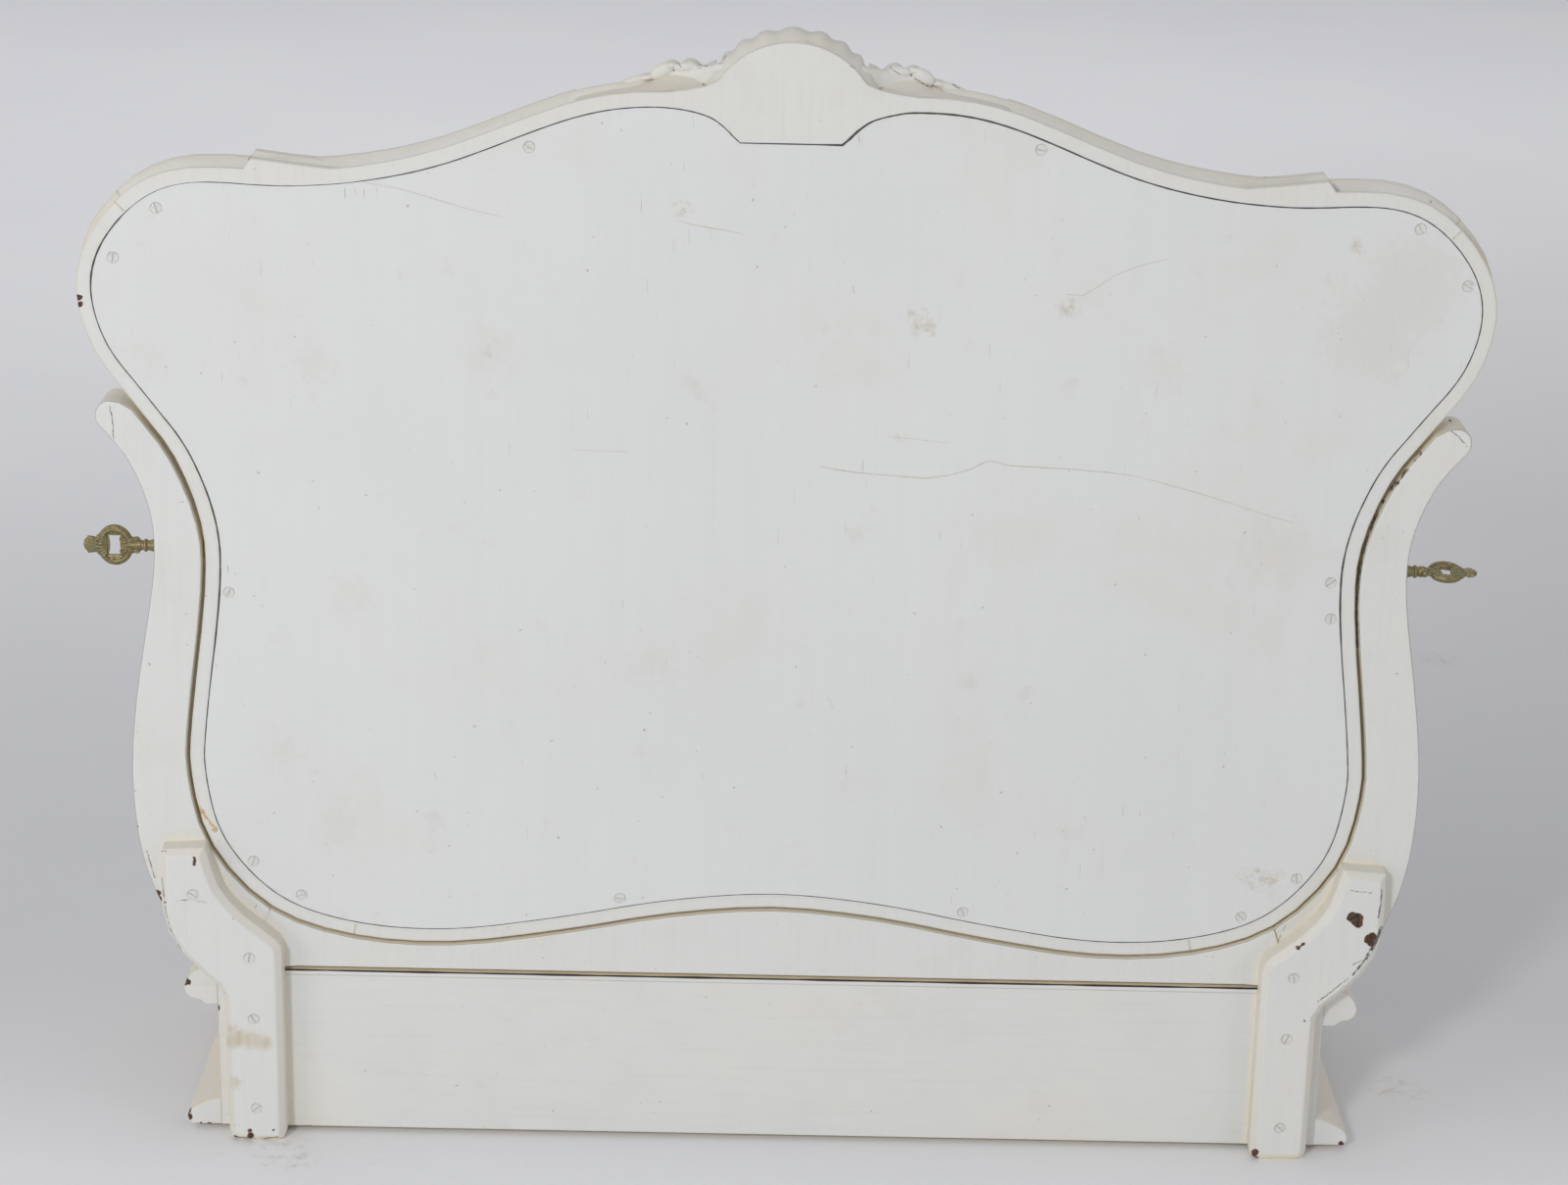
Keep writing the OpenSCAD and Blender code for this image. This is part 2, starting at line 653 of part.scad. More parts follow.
// Outer face of the arm at the height of the pivot.
arm_face_x = lookup(pivot_h, [for (q = arm_outer) if (q.y < to_size([0, 520]).y) [q.y, q.x]]);
spot_depth = 1;
spot_d = 15;

module arm(side) {
    color(paint) difference() {
        upright(back_y) mirror([side > 0 ? 0 : 1, 0, 0]) moulded_band(arm_outer, arm_inner, arm_edge);
        translate([0, pivot_y, pivot_h]) rotate([0, side * 90, 0]) {
            cylinder(d = bore + 2 * (bush_wall + fit_clear), h = arm_face_x + 5);
            translate([0, 0, arm_face_x - spot_depth]) cylinder(d = spot_d, h = spot_d);
        }
        for (k = [0, 1])
            brace_screw_place(side, k) pilot_hole(brace_t + screw_bite);
    }
}

module harp_left_arm() { arm(-1); }
module harp_right_arm() { arm(1); }

// The rail's ends stand on the case, and the rest of it clears the top board.
relief_x = foot_x - rail_seat;
rail_top = [for (i = [edge_count - inner_last:-1:inner_last]) harp_edge(i)];
rail_foot = [for (i = [0:len(rail_top) - 1]) let (x = rail_top[i].x)
    i == 0 ? [-foot_x, case_h] : i == len(rail_top) - 1 ? [foot_x, case_h]
    : [x, case_h + (abs(x) < relief_x ? rail_gap : 0)]];

module harp_lower_rail() {
    color(paint) upright(back_y) moulded_band(rail_foot, rail_top, arm_edge);
}

// Right brace, drawn about the middle of its leg, from the foot up.
brace_in = 4;
brace_x = foot_x - brace_in;
brace_inner = [[-15, 0], [-20, 2], [-22, 7], [-22, 90], [-22, 158], [-18.5, 164.5],
    [-6.5, 174], [6.5, 184.5], [16.8, 195.6], [24.8, 207.7], [29.2, 220.7], [34, 238]];
brace_outer = [[15, 0], [20, 2], [22, 7], [22, 70], [22, 119], [27, 127.5], [38, 137],
    [52.5, 152], [63, 169], [67.5, 190], [67.5, 211], [66.5, 236]];
brace_h = case_h + brace_lift;
leg_scale = brace_w / (brace_outer[2].x - brace_inner[2].x);
brace_rise = brace_h / max([for (p = brace_inner) p.y]);
function brace_point(q) = [brace_x + q.x * leg_scale, q.y * brace_rise];
function brace_points(p) = [for (q = p) brace_point(q)];

module brace(side) {
    color(paint) difference() {
        translate([0, back_y, 0]) rotate([90, 0, 180]) mirror([side > 0 ? 1 : 0, 0, 0])
            moulded_band(brace_points(brace_outer), brace_points(brace_inner),
                [[0, 0], [0, brace_t - brace_bevel], [brace_bevel, brace_t]]);
        for (k = [0:3])
            brace_screw_place(side, k) screw_hole(brace_t + 1);
    }
}

module left_brace() { brace(-1); }
module right_brace() { brace(1); }

// Bush through the arm with a flange that keeps the mirror off the arm.
bore = shank_d + 2 * shank_clear;
flange_w = 2.5;
flange_play = 0.3;
module pivot_bush(side) {
    bush_end = arm_face_x - spot_depth - frame_x;
    color(brass) translate([side * frame_x, pivot_y, pivot_h]) rotate([0, side * 90, 0])
        rotate_extrude() translate([bore / 2, 0])
            polygon([[0, flange_play], [bush_wall + flange_w, flange_play],
                [bush_wall + flange_w, harp_gap - flange_play], [bush_wall, harp_gap - flange_play],
                [bush_wall, bush_end], [0, bush_end]]);
}

module left_pivot_bush() { pivot_bush(-1); }
module right_pivot_bush() { pivot_bush(1); }

module pivot_insert(side) {
    color(brass) insert_place(side) difference() {
        cylinder(d = insert_d, h = insert_l);
        translate([0, 0, -1]) cylinder(d = bore, h = insert_l + 2);
    }
}

module left_insert() { pivot_insert(-1); }
module right_insert() { pivot_insert(1); }

// Pierced key: a shank, a flared foot, a ring, two scrolls, the pierced bow and a tip.
bow_w = 30.5;
bow_h = 28;
bow_t = 4.5;
bow_x = 31.5;
tip_w = 11;
scroll_r = 3;
hole_half = [[0, 3.7], [4, 4.1], [7.4, 5.2]];
function oval(a, b, n) = [for (i = [0:n - 1]) [a * cos(360 * i / n), b * sin(360 * i / n)]];

module key_hole() {
    for (turned = [0, 180], flipped = [0, 1])
        rotate([0, 0, turned]) mirror([flipped, 0, 0])
            polygon(concat(hole_half, [[hole_half[2].x, 0], [-0.01, 0], [-0.01, hole_half[0].y]]));
}

module key_bow() {
    difference() {
        union() {
            polygon(oval(bow_w / 2, bow_h / 2, 60));
            for (t = [-1, 1]) {
                translate([t * scroll_r * 1.1, -bow_h / 2 - scroll_r * 0.6]) circle(r = scroll_r);
                translate([t * tip_w * 0.25, bow_h / 2 + 1]) circle(d = tip_w * 0.7);
            }
        }
        key_hole();
    }
}

module key(side, turn) {
    seat = arm_face_x - spot_depth;
    inner_end = frame_x - insert_l + 1;
    bow_end = bow_x + bow_h / 2;
    color(brass) translate([0, pivot_y, pivot_h]) rotate([0, side * 90, 0]) rotate([0, 0, turn]) {
        rotate_extrude() polygon([[0, inner_end], [shank_d / 2, inner_end],
            [shank_d / 2, seat + 0.1], [5.6, seat + 0.1], [5.1, seat + 2.4], [4, seat + 4],
            [3.8, seat + 6.4], [4.9, seat + 7.3], [4.9, seat + 9], [3.8, seat + 10.2],
            [4.1, seat + 13], [3.5, seat + 18], [0, seat + 20]]);
        translate([0, bow_t / 2, seat + bow_x]) rotate([90, 0, 0]) linear_extrude(bow_t) key_bow();
        translate([0, 0, seat + bow_end]) rotate_extrude() polygon([[0, -2], [3, -2],
            [tip_w * 0.36, 1], [tip_w * 0.38, 4], [tip_w * 0.3, 6.8], [tip_w * 0.14, 8.6], [0, 9]]);
    }
}

module left_pivot_key() { key(-1, left_key_turn); }
module right_pivot_key() { key(1, 0); }

// Fluted shell: a fan of rounded flutes rising to a scalloped edge. The flutes
// are counted from the middle one, and those toward the sides are narrower.
flutes = 6;
flute_steps = 5;
shell_rise = 13;
shell_rows = [0.16, 0.3, 0.55, 0.8, 0.94, 1];
function flute_angle(u) = sign(u) * lookup(abs(u),
    [[0, 0], [0.5, 10.2], [1.5, 25], [2.5, 39], [3.5, 50], [4.5, 60], [5.5, 69.5], [6, 74]]);
function flute(u) = abs(cos(180 * u));
function flute_dip(u) = lookup(abs(u), [[4, 0.045], [4.5, 0.012]]);
function shell_point(row, u) = let (a = flute_angle(u), s = shell_rows[row],
    r = shell_r * s * (s > 0.9 ? 1 - flute_dip(u) * (1 - flute(u)) : 1),
    dome = shell_rise * (0.35 + 0.65 * sin(140 * s)),
    rise = dome * (0.55 + 0.45 * flute(u) * s) + (s < 0.2 ? 2 : 0))
    [r * sin(a), -(s == 1 ? rise * 0.45 : rise), r * cos(a)];

// The rim rolls back from the fan to the edge of the arch: [how far it stands out
// of the arch, share of the depth to the arch].
shell_roll = [[1, 0.2], [0.97, 0.4], [0.8, 0.62], [0.48, 0.82], [0, 1]];
function shell_ring(u) = let (top = len(shell_rows) - 1, tip = shell_point(top, u),
    out = norm([tip.x, tip.z]), way = tip / out, foot = shell_point(0, u))
    concat([for (row = [0:top]) shell_point(row, u)],
        [for (e = shell_roll) let (r = arch_r + (out - arch_r) * e.x)
            [way.x * r, (carve_y - arch_lip) * e.y, way.z * r]],
        [[foot.x, carve_y - arch_lip, foot.z]]);
function shell_hub(u) = let (p = shell_point(2, u)) [p.x, p.y / 2, p.z];

module crest_shell() {
    last = flutes * flute_steps;
    color(paint) difference() {
        translate([0, back_y - carve_y, shell_z])
            ring_solid([for (i = [-last:last]) shell_ring(i / flute_steps)],
                shell_hub(-flutes), shell_hub(flutes));
        translate([0, back_y, shell_z]) rotate([90, 0, 0])
            cylinder(r = arch_core, h = carve_y, $fn = 96);
        translate([-2 * arch_r, back_y - carve_y, shell_foot - 3 * arch_r])
            cube([4 * arch_r, carve_y, 3 * arch_r]);
    }
}

// Leaf spray: three leaves and a berry along the top rail, each entry being
// [distance from the middle, height of the upper edge, swell toward the front].
spray_edge = [[44, 812, 8], [48, 817, 10], [53, 818, 11], [58, 816.3, 9], [62, 814, 6],
    [66, 817.4, 10], [71.5, 818.8, 12], [75.5, 817, 9], [77.8, 815, 6], [80.5, 817, 10],
    [84.5, 817.4, 12], [88.5, 815.4, 11], [92.5, 811, 8], [95, 808, 5], [98, 808.4, 8],
    [103, 807.8, 9], [108, 805.6, 7], [113, 802.8, 5], [120, 801.2, 5], [128, 799.8, 4.5],
    [136, 797.4, 3.5], [144, 795, 2.4], [150, 792.4, 1.4]];
spray_steps = 2;
spray_drop = 16;
function rim_z(x) = lookup(x,
    [for (i = [0:corner_step]) let (q = off_edge(i, rim)) [q.x, q.y]]);
function spray_at(u) = along(spray_edge, u);
function spray_ring(u) = let (e = spray_at(u), q = to_size([e.x, e.y]), x = q.x, hi = q.y,
    lo = max(rim_z(x) - spray_drop + 8 * u / len(spray_edge), crest_foot + 1), w = hi - lo,
    lump = max(0, min(1, (hi - rim_z(x) - bead_out - 3) / 2)) * max(0, e.z - 4) / 7,
    foot = min(max(slope_z(u), rim_z(x) + bead_out) + 0.4, hi - 1.8))
    [[x, 0, lo], [x, -e.z * 0.7, lo + w * 0.1], [x, -e.z * 0.9, lo + w * 0.35],
     [x, -e.z * 0.66, lo + w * 0.52], [x, -e.z, lo + w * 0.76], [x, -e.z * 0.5, hi],
     [x, 2.2 * lump, hi - 0.8], [x, 3.4 * lump, max(foot + 0.4, hi - 3.6)], [x, 0, foot]];
function spray_hub(u) = let (r = spray_ring(u)) [r[0].x, r[3].y / 2, (r[0].z + r[5].z) / 2];

module spray(side) {
    spray_last = len(spray_edge) - 1;
    color(paint) difference() {
        translate([0, back_y - carve_y, 0]) mirror([side > 0 ? 0 : 1, 0, 0])
            ring_solid([for (i = [0:spray_last * spray_steps]) spray_ring(i / spray_steps)],
                spray_hub(0), spray_hub(spray_last));
        translate([0, back_y + 1, shell_z]) rotate([90, 0, 0])
            cylinder(r = shell_r + 0.4, h = 3 * frame_t, $fn = 96);
    }
}

module left_leaf_spray() { spray(-1); }
module right_leaf_spray() { spray(1); }

base_bottom_board();
base_top_board();
base_back_board();
base_left_side();
base_right_side();
left_divider();
right_divider();
top_moulding_front();
top_moulding_left();
top_moulding_right();
bottom_moulding_front();
bottom_moulding_left();
bottom_moulding_right();
harp_lower_rail();
harp_left_arm();
harp_right_arm();
left_brace();
right_brace();
brace_screws();
left_pivot_bush();
right_pivot_bush();
mirror_top_rail();
mirror_left_stile();
mirror_right_stile();
mirror_bottom_rail();
crest_shell();
left_leaf_spray();
right_leaf_spray();
mirror_glass();
mirror_back_panel();
panel_screws();
left_insert();
right_insert();
left_pivot_key();
right_pivot_key();
left_drawer_front();
left_drawer_left_side();
left_drawer_right_side();
left_drawer_back();
left_drawer_bottom();
left_drawer_knob();
middle_drawer_front();
middle_drawer_left_side();
middle_drawer_right_side();
middle_drawer_back();
middle_drawer_bottom();
middle_drawer_knob();
right_drawer_front();
right_drawer_left_side();
right_drawer_right_side();
right_drawer_back();
right_drawer_bottom();
right_drawer_knob();
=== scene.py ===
import json
import math
import bmesh
import bpy
from mathutils import Matrix, Vector


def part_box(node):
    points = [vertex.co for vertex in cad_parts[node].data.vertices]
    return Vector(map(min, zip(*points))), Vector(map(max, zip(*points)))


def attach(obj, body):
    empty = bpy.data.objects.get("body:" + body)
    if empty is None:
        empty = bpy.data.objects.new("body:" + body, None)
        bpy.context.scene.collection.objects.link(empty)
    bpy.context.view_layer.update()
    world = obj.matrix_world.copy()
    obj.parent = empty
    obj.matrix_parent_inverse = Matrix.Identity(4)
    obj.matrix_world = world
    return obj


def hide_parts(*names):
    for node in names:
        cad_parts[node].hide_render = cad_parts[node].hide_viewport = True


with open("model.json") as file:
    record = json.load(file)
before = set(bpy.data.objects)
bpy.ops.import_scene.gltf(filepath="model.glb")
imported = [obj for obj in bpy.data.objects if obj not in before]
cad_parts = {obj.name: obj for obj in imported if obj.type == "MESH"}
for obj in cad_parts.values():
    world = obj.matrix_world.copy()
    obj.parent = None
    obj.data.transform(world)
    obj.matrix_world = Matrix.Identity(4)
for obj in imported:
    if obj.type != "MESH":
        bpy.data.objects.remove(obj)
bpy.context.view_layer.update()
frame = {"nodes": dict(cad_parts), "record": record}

scene = bpy.context.scene
nodes = frame["nodes"]
slot_of = {s["node"]: s["material_slot"] for s in frame["record"]["subparts"]}

# Plane of the back of the mirror and harp
BACK = 0.115

# Camera at the photograph's place
PHOTO_WIDTH = 1600.0
CENTRE_X = 800.0
CENTRE_Y = 604.5
FOCAL = 3493.0
SENSOR = 36.0
eye = Vector((0.01906, 2.4479, 1.2328))
ahead = Vector((-0.00864, -0.94676, -0.3219)).normalized()
tilted = Vector((-0.99975, 0.00153, 0.02234))
right = (tilted - ahead * tilted.dot(ahead)).normalized()
up = right.cross(ahead)
cam_data = bpy.data.cameras.new("photo_camera")
cam_data.sensor_fit = "HORIZONTAL"
cam_data.sensor_width = SENSOR
cam_data.lens = SENSOR * FOCAL / PHOTO_WIDTH
cam_data.clip_start = 0.05
cam_data.clip_end = 80.0
camera = bpy.data.objects.new("photo_camera", cam_data)
camera.matrix_world = Matrix((
    (right.x, up.x, -ahead.x, eye.x),
    (right.y, up.y, -ahead.y, eye.y),
    (right.z, up.z, -ahead.z, eye.z),
    (0.0, 0.0, 0.0, 1.0)))
scene.collection.objects.link(camera)
scene.camera = camera


# Line of sight through a pixel of the photograph
def sight(px, py):
    return ahead * FOCAL + right * (px - CENTRE_X) - up * (py - CENTRE_Y)


# Where a pixel falls on the upright plane at this depth
def seen(px, py, depth):
    d = sight(px, py)
    return eye + d * ((depth - eye.y) / d.y)


# Spots on the back or the floor, from their pixels and their radii in metres
def on_back(spots):
    return [(*seen(px, py, BACK), r) for px, py, r in spots]


def on_floor(spots):
    lines = [(sight(px, py), r) for px, py, r in spots]
    return [(*(eye + d * (-eye.z / d.z)), r) for d, r in lines]


# Nodes of a material by name, joined with short calls
class Mat:
    def __init__(self, name):
        self.mat = bpy.data.materials.new(name)
        self.mat.use_nodes = True
        self.tree = self.mat.node_tree
        self.bsdf = self.tree.nodes["Principled BSDF"]

    def put(self, socket, value):
        if isinstance(value, bpy.types.NodeSocket):
            self.tree.links.new(value, socket)
        elif value is not None:
            if isinstance(value, tuple) and len(value) == 3 and len(socket.default_value) == 4:
                value = (*value, 1.0)
            socket.default_value = value

    def set(self, name, value):
        self.put(self.bsdf.inputs[name], value)

    def node(self, kind, **inputs):
        n = self.tree.nodes.new(kind)
        for key, value in inputs.items():
            self.put(n.inputs[key.replace("_", " ")], value)
        return n

    def place(self):
        return self.tree.nodes.new("ShaderNodeTexCoord").outputs["Object"]

    def facing(self):
        return self.tree.nodes.new("ShaderNodeNewGeometry").outputs["Normal"]

    def coords(self, scale=(1, 1, 1), offset=(0, 0, 0)):
        m = self.node("ShaderNodeMapping", Vector=self.place(), Scale=scale, Location=offset)
        return m.outputs["Vector"]

    def noise(self, vector, scale, detail=4.0, rough=0.55, distortion=0.0):
        n = self.node("ShaderNodeTexNoise", Vector=vector, Scale=scale, Detail=detail,
                      Roughness=rough, Distortion=distortion)
        return n.outputs["Fac"]

    def ramp(self, fac, *stops):
        n = self.node("ShaderNodeValToRGB", Fac=fac)
        e = n.color_ramp.elements
        while len(e) < len(stops):
            e.new(0.5)
        for el, (at, colour) in zip(e, stops):
            el.position = at
            c = colour if isinstance(colour, tuple) else (colour,) * 3
            el.color = (*c, 1.0)
        return n.outputs["Color"]

    def step(self, value, lo, hi):
        n = self.node("ShaderNodeMapRange", Value=value)
        n.interpolation_type = "SMOOTHSTEP"
        n.inputs["From Min"].default_value = lo
        n.inputs["From Max"].default_value = hi
        return n.outputs["Result"]

    def mix(self, fac, a, b, mode="MIX"):
        n = self.tree.nodes.new("ShaderNodeMix")
        n.data_type = "RGBA"
        n.blend_type = mode
        self.put(n.inputs["Factor"], fac)
        self.put(n.inputs[6], a)
        self.put(n.inputs[7], b)
        return n.outputs[2]

    def math(self, op, a, b=None, c=None, clamp=False):
        n = self.tree.nodes.new("ShaderNodeMath")
        n.operation = op
        n.use_clamp = clamp
        for k, v in enumerate((a, b, c)):
            self.put(n.inputs[k], v)
        return n.outputs[0]

    def times(self, a, b):
        return self.math("MULTIPLY", a, b)

    def vec(self, op, a, b=None, c=None, out=0):
        n = self.tree.nodes.new("ShaderNodeVectorMath")
        n.operation = op
        for k, v in enumerate((a, b, c)):
            self.put(n.inputs[k], v)
        return n.outputs[out]

    def dot(self, a, b):
        return self.vec("DOT_PRODUCT", a, b, out=1)

    # The colour, mixed with another where the mask is 1, by this share
    def tint(self, colour, mask, share, other):
        return self.mix(self.times(mask, share), colour, other)

    def bump(self, height, strength, distance, normal=None):
        n = self.node("ShaderNodeBump", Height=height, Strength=strength, Distance=distance)
        if normal is not None:
            self.put(n.inputs["Normal"], normal)
        return n.outputs["Normal"]

    # The piece's own coordinates on a flat map of its back, in units of the photograph
    def back_map(self):
        away = self.vec("SUBTRACT", self.place(), tuple(eye))
        deep = self.dot(away, tuple(ahead))
        across = self.math("DIVIDE", self.dot(away, tuple(right)), deep)
        rise = self.math("DIVIDE", self.dot(away, tuple(up)), deep)
        got = self.node("ShaderNodeCombineXYZ", X=self.math("MULTIPLY_ADD", across, FOCAL, CENTRE_X),
                        Y=self.math("MULTIPLY_ADD", rise, -FOCAL, CENTRE_Y))
        return got.outputs[0]

    # The place, shifted at random by up to half this much
    def shaken(self, place, scale, much):
        wobble = self.node("ShaderNodeTexNoise", Vector=self.place(), Scale=scale, Detail=3.0)
        shift = self.vec("SUBTRACT", wobble.outputs["Color"], (0.5, 0.5, 0.5))
        return self.vec("ADD", place, self.vec("MULTIPLY", shift, (much, much, much)))

    # 1 on all faces but those that look forward
    def behind(self):
        return self.step(self.dot(self.facing(), (0.0, 1.0, 0.0)), -0.35, -0.2)

    # 1 within r of any of the balls (x, y, z, r), with a ragged border
    def spots(self, balls, ragged, soft, place=None):
        shifted = self.shaken(place or self.place(), 170.0, ragged)
        near = None
        for x, y, z, r in balls:
            away = self.vec("DISTANCE", shifted, (x, y, z), out=1)
            own = self.math("SUBTRACT", away, r)
            near = own if near is None else self.math("MINIMUM", near, own)
        return self.step(near, soft, -soft)

    # 1 within r of any of the lines (a, b, r) on the back, in pixels, broken up by noise
    def strokes(self, lines, ragged, soft, broken=None):
        spot = self.shaken(self.back_map(), 210.0, ragged)
        near = None
        for a, b, r in lines:
            along = b - a
            off = self.vec("SUBTRACT", spot, tuple(a))
            t = self.dot(off, tuple(along / along.length_squared))
            t = self.math("MULTIPLY", t, 1.0, clamp=True)
            foot = self.vec("MULTIPLY_ADD", self.node("ShaderNodeCombineXYZ", X=t, Y=t).outputs[0],
                            tuple(along), tuple(a))
            own = self.math("SUBTRACT", self.vec("DISTANCE", spot, foot, out=1), r)
            near = own if near is None else self.math("MINIMUM", near, own)
        got = self.times(self.step(near, soft, -soft), self.behind())
        if broken:
            scale, lo, hi = broken
            got = self.times(got, self.step(self.noise(self.coords(), scale, 3.0, 0.6), lo, hi))
            fine = self.step(self.noise(self.coords(scale=(1, 1, 0.35)), 620.0, 3.0, 0.6), 0.36, 0.54)
            got = self.times(got, self.math("MULTIPLY_ADD", fine, 0.7, 0.3))
        return got

    # 1 within r of any of the spots (x, y, r) on the back, in pixels
    def marks(self, spots, ragged, soft):
        flat = [(x, y, 0.0, r) for x, y, r in spots]
        return self.times(self.spots(flat, ragged, soft, self.back_map()), self.behind())


# Aged white paint over brown wood, whiter on the faces that look back, more
# yellow on the others
def paint_material(name, seed, strokes, chips=(), stains=(), worn_and_shadow_lines=(), flaked=(), drips=(),
                   white=(0.735, 0.74, 0.715), cream=(0.755, 0.70, 0.585), edge_tint=None,
                   dust_and_shade_colour=(0.97, 0.87, 0.66)):
    m = Mat(name)
    facing = m.facing()
    flat = m.math("ABSOLUTE", m.dot(facing, (0.0, 1.0, 0.0)))
    side = m.math("SUBTRACT", 1.0, m.step(flat, 0.55, 0.97))
    cloud = m.step(m.noise(m.coords(offset=(seed, seed * 0.7, 0)), 7.0, 4.0, 0.6), 0.42, 0.68)
    patch = m.step(m.noise(m.coords(offset=(0, seed * 1.3, seed)), 22.0, 5.0, 0.62), 0.5, 0.78)
    yellowed = tuple(0.4 * a + 0.6 * b for a, b in zip(white, cream))
    colour = m.mix(m.times(cloud, 0.45), white, yellowed)
    colour = m.mix(m.times(side, m.math("MULTIPLY_ADD", cloud, 0.35, 0.6)), colour, cream)
    colour = m.tint(colour, patch, 0.16, (0.56, 0.50, 0.38))
    brush = m.noise(m.coords(scale=strokes, offset=(seed * 3, 0, seed)), 1.0, 4.0, 0.6)
    colour = m.mix(0.35, colour, m.ramp(brush, (0.3, 0.9), (0.5, 0.985), (0.75, 1.0)), "MULTIPLY")
    # sparse dark specks
    speck = m.noise(m.coords(offset=(seed * 5, 0, 0)), 260.0, 1.0, 0.4)
    sparse = m.noise(m.coords(offset=(0, 0, seed * 5)), 30.0, 1.0)
    dots = m.times(m.step(speck, 0.745, 0.775), m.step(sparse, 0.5, 0.62))
    colour = m.tint(colour, dots, 0.55, (0.25, 0.18, 0.12))
    # dust in hollows, and painted shade: a tan tint by occlusion that stands in for how shaded
    # recesses and gaps look
    hollow = m.node("ShaderNodeAmbientOcclusion", Distance=0.012)
    hollow.samples = 4
    dust_and_painted_shade = m.step(hollow.outputs["AO"], 0.62, 0.25)
    colour = m.tint(colour, dust_and_painted_shade, 0.9, dust_and_shade_colour)
    if edge_tint:
        wide_edge = m.node("ShaderNodeBevel", Radius=0.0032)
        wide_edge.samples = 4
        near_edge = m.step(m.dot(wide_edge.outputs["Normal"], facing), 0.995, 0.80)
        colour = m.tint(colour, near_edge, 0.85, edge_tint)
    if stains:
        streak = m.step(m.noise(m.coords(scale=(140, 140, 14)), 1.0, 4.0), 0.30, 0.70)
        stained = m.times(m.marks(stains, 9.0, 5.0), m.math("MULTIPLY_ADD", streak, 0.5, 0.5))
        colour = m.tint(colour, stained, 0.7, (0.53, 0.41, 0.23))
    if drips:
        run = m.strokes(drips, 5.0, 0.8)
        thick = m.step(m.noise(m.coords(), 330.0, 3.0, 0.6), 0.35, 0.65)
        colour = m.tint(colour, run, 0.85, m.mix(thick, (0.66, 0.46, 0.22), (0.50, 0.28, 0.10)))
    # dark lines: cracks and worn paint, with painted contact shadow and painted gap shade among them
    if worn_and_shadow_lines:
        rubbed_and_shadow = m.strokes(worn_and_shadow_lines, 3.2, 0.4, (95.0, 0.33, 0.43))
        colour = m.tint(colour, rubbed_and_shadow, 0.94, (0.050, 0.044, 0.036))
    # rubbed edges
    round_edge = m.node("ShaderNodeBevel", Radius=0.0012)
    round_edge.samples = 3
    edge = m.step(m.dot(round_edge.outputs["Normal"], facing), 0.985, 0.90)
    rub = m.step(m.noise(m.coords(offset=(seed, 4.0, seed)), 34.0, 4.0, 0.7), 0.58, 0.74)
    worn = m.times(m.times(edge, rub), m.math("SUBTRACT", 1.0, dust_and_painted_shade))
    colour = m.tint(colour, worn, 0.32, (0.34, 0.27, 0.19))
    height = m.math("ADD", m.times(brush, 0.5), m.noise(m.coords(), 420.0, 3.0, 0.6))
    rough = m.math("MULTIPLY_ADD", cloud, 0.12, 0.42)
    if chips or flaked:
        # bare wood where the paint is gone
        bare = m.marks(chips, 6.0, 0.45)
        rim = m.marks(chips, 6.0, 1.6)
        if flaked:
            bare = m.math("MAXIMUM", bare, m.strokes(flaked, 4.0, 0.45, (120.0, 0.47, 0.52)))
        fibre = m.ramp(m.noise(m.coords(scale=(900, 900, 90)), 1.0, 4.0),
                       (0.35, (0.035, 0.016, 0.011)), (0.6, (0.12, 0.05, 0.028)),
                       (0.8, (0.22, 0.10, 0.055)))
        rim = m.math("SUBTRACT", rim, bare, clamp=True)
        colour = m.tint(colour, rim, 0.5, (0.45, 0.38, 0.30))
        colour = m.mix(bare, colour, fibre)
        height = m.math("SUBTRACT", height, m.times(bare, 2.0))
        rough = m.math("MULTIPLY_ADD", bare, 0.25, rough)
    m.set("Base Color", colour)
    m.set("Roughness", rough)
    m.set("Specular IOR Level", 0.42)
    m.set("Normal", m.bump(height, 0.16, 0.0006, round_edge.outputs["Normal"]))
    return m.mat


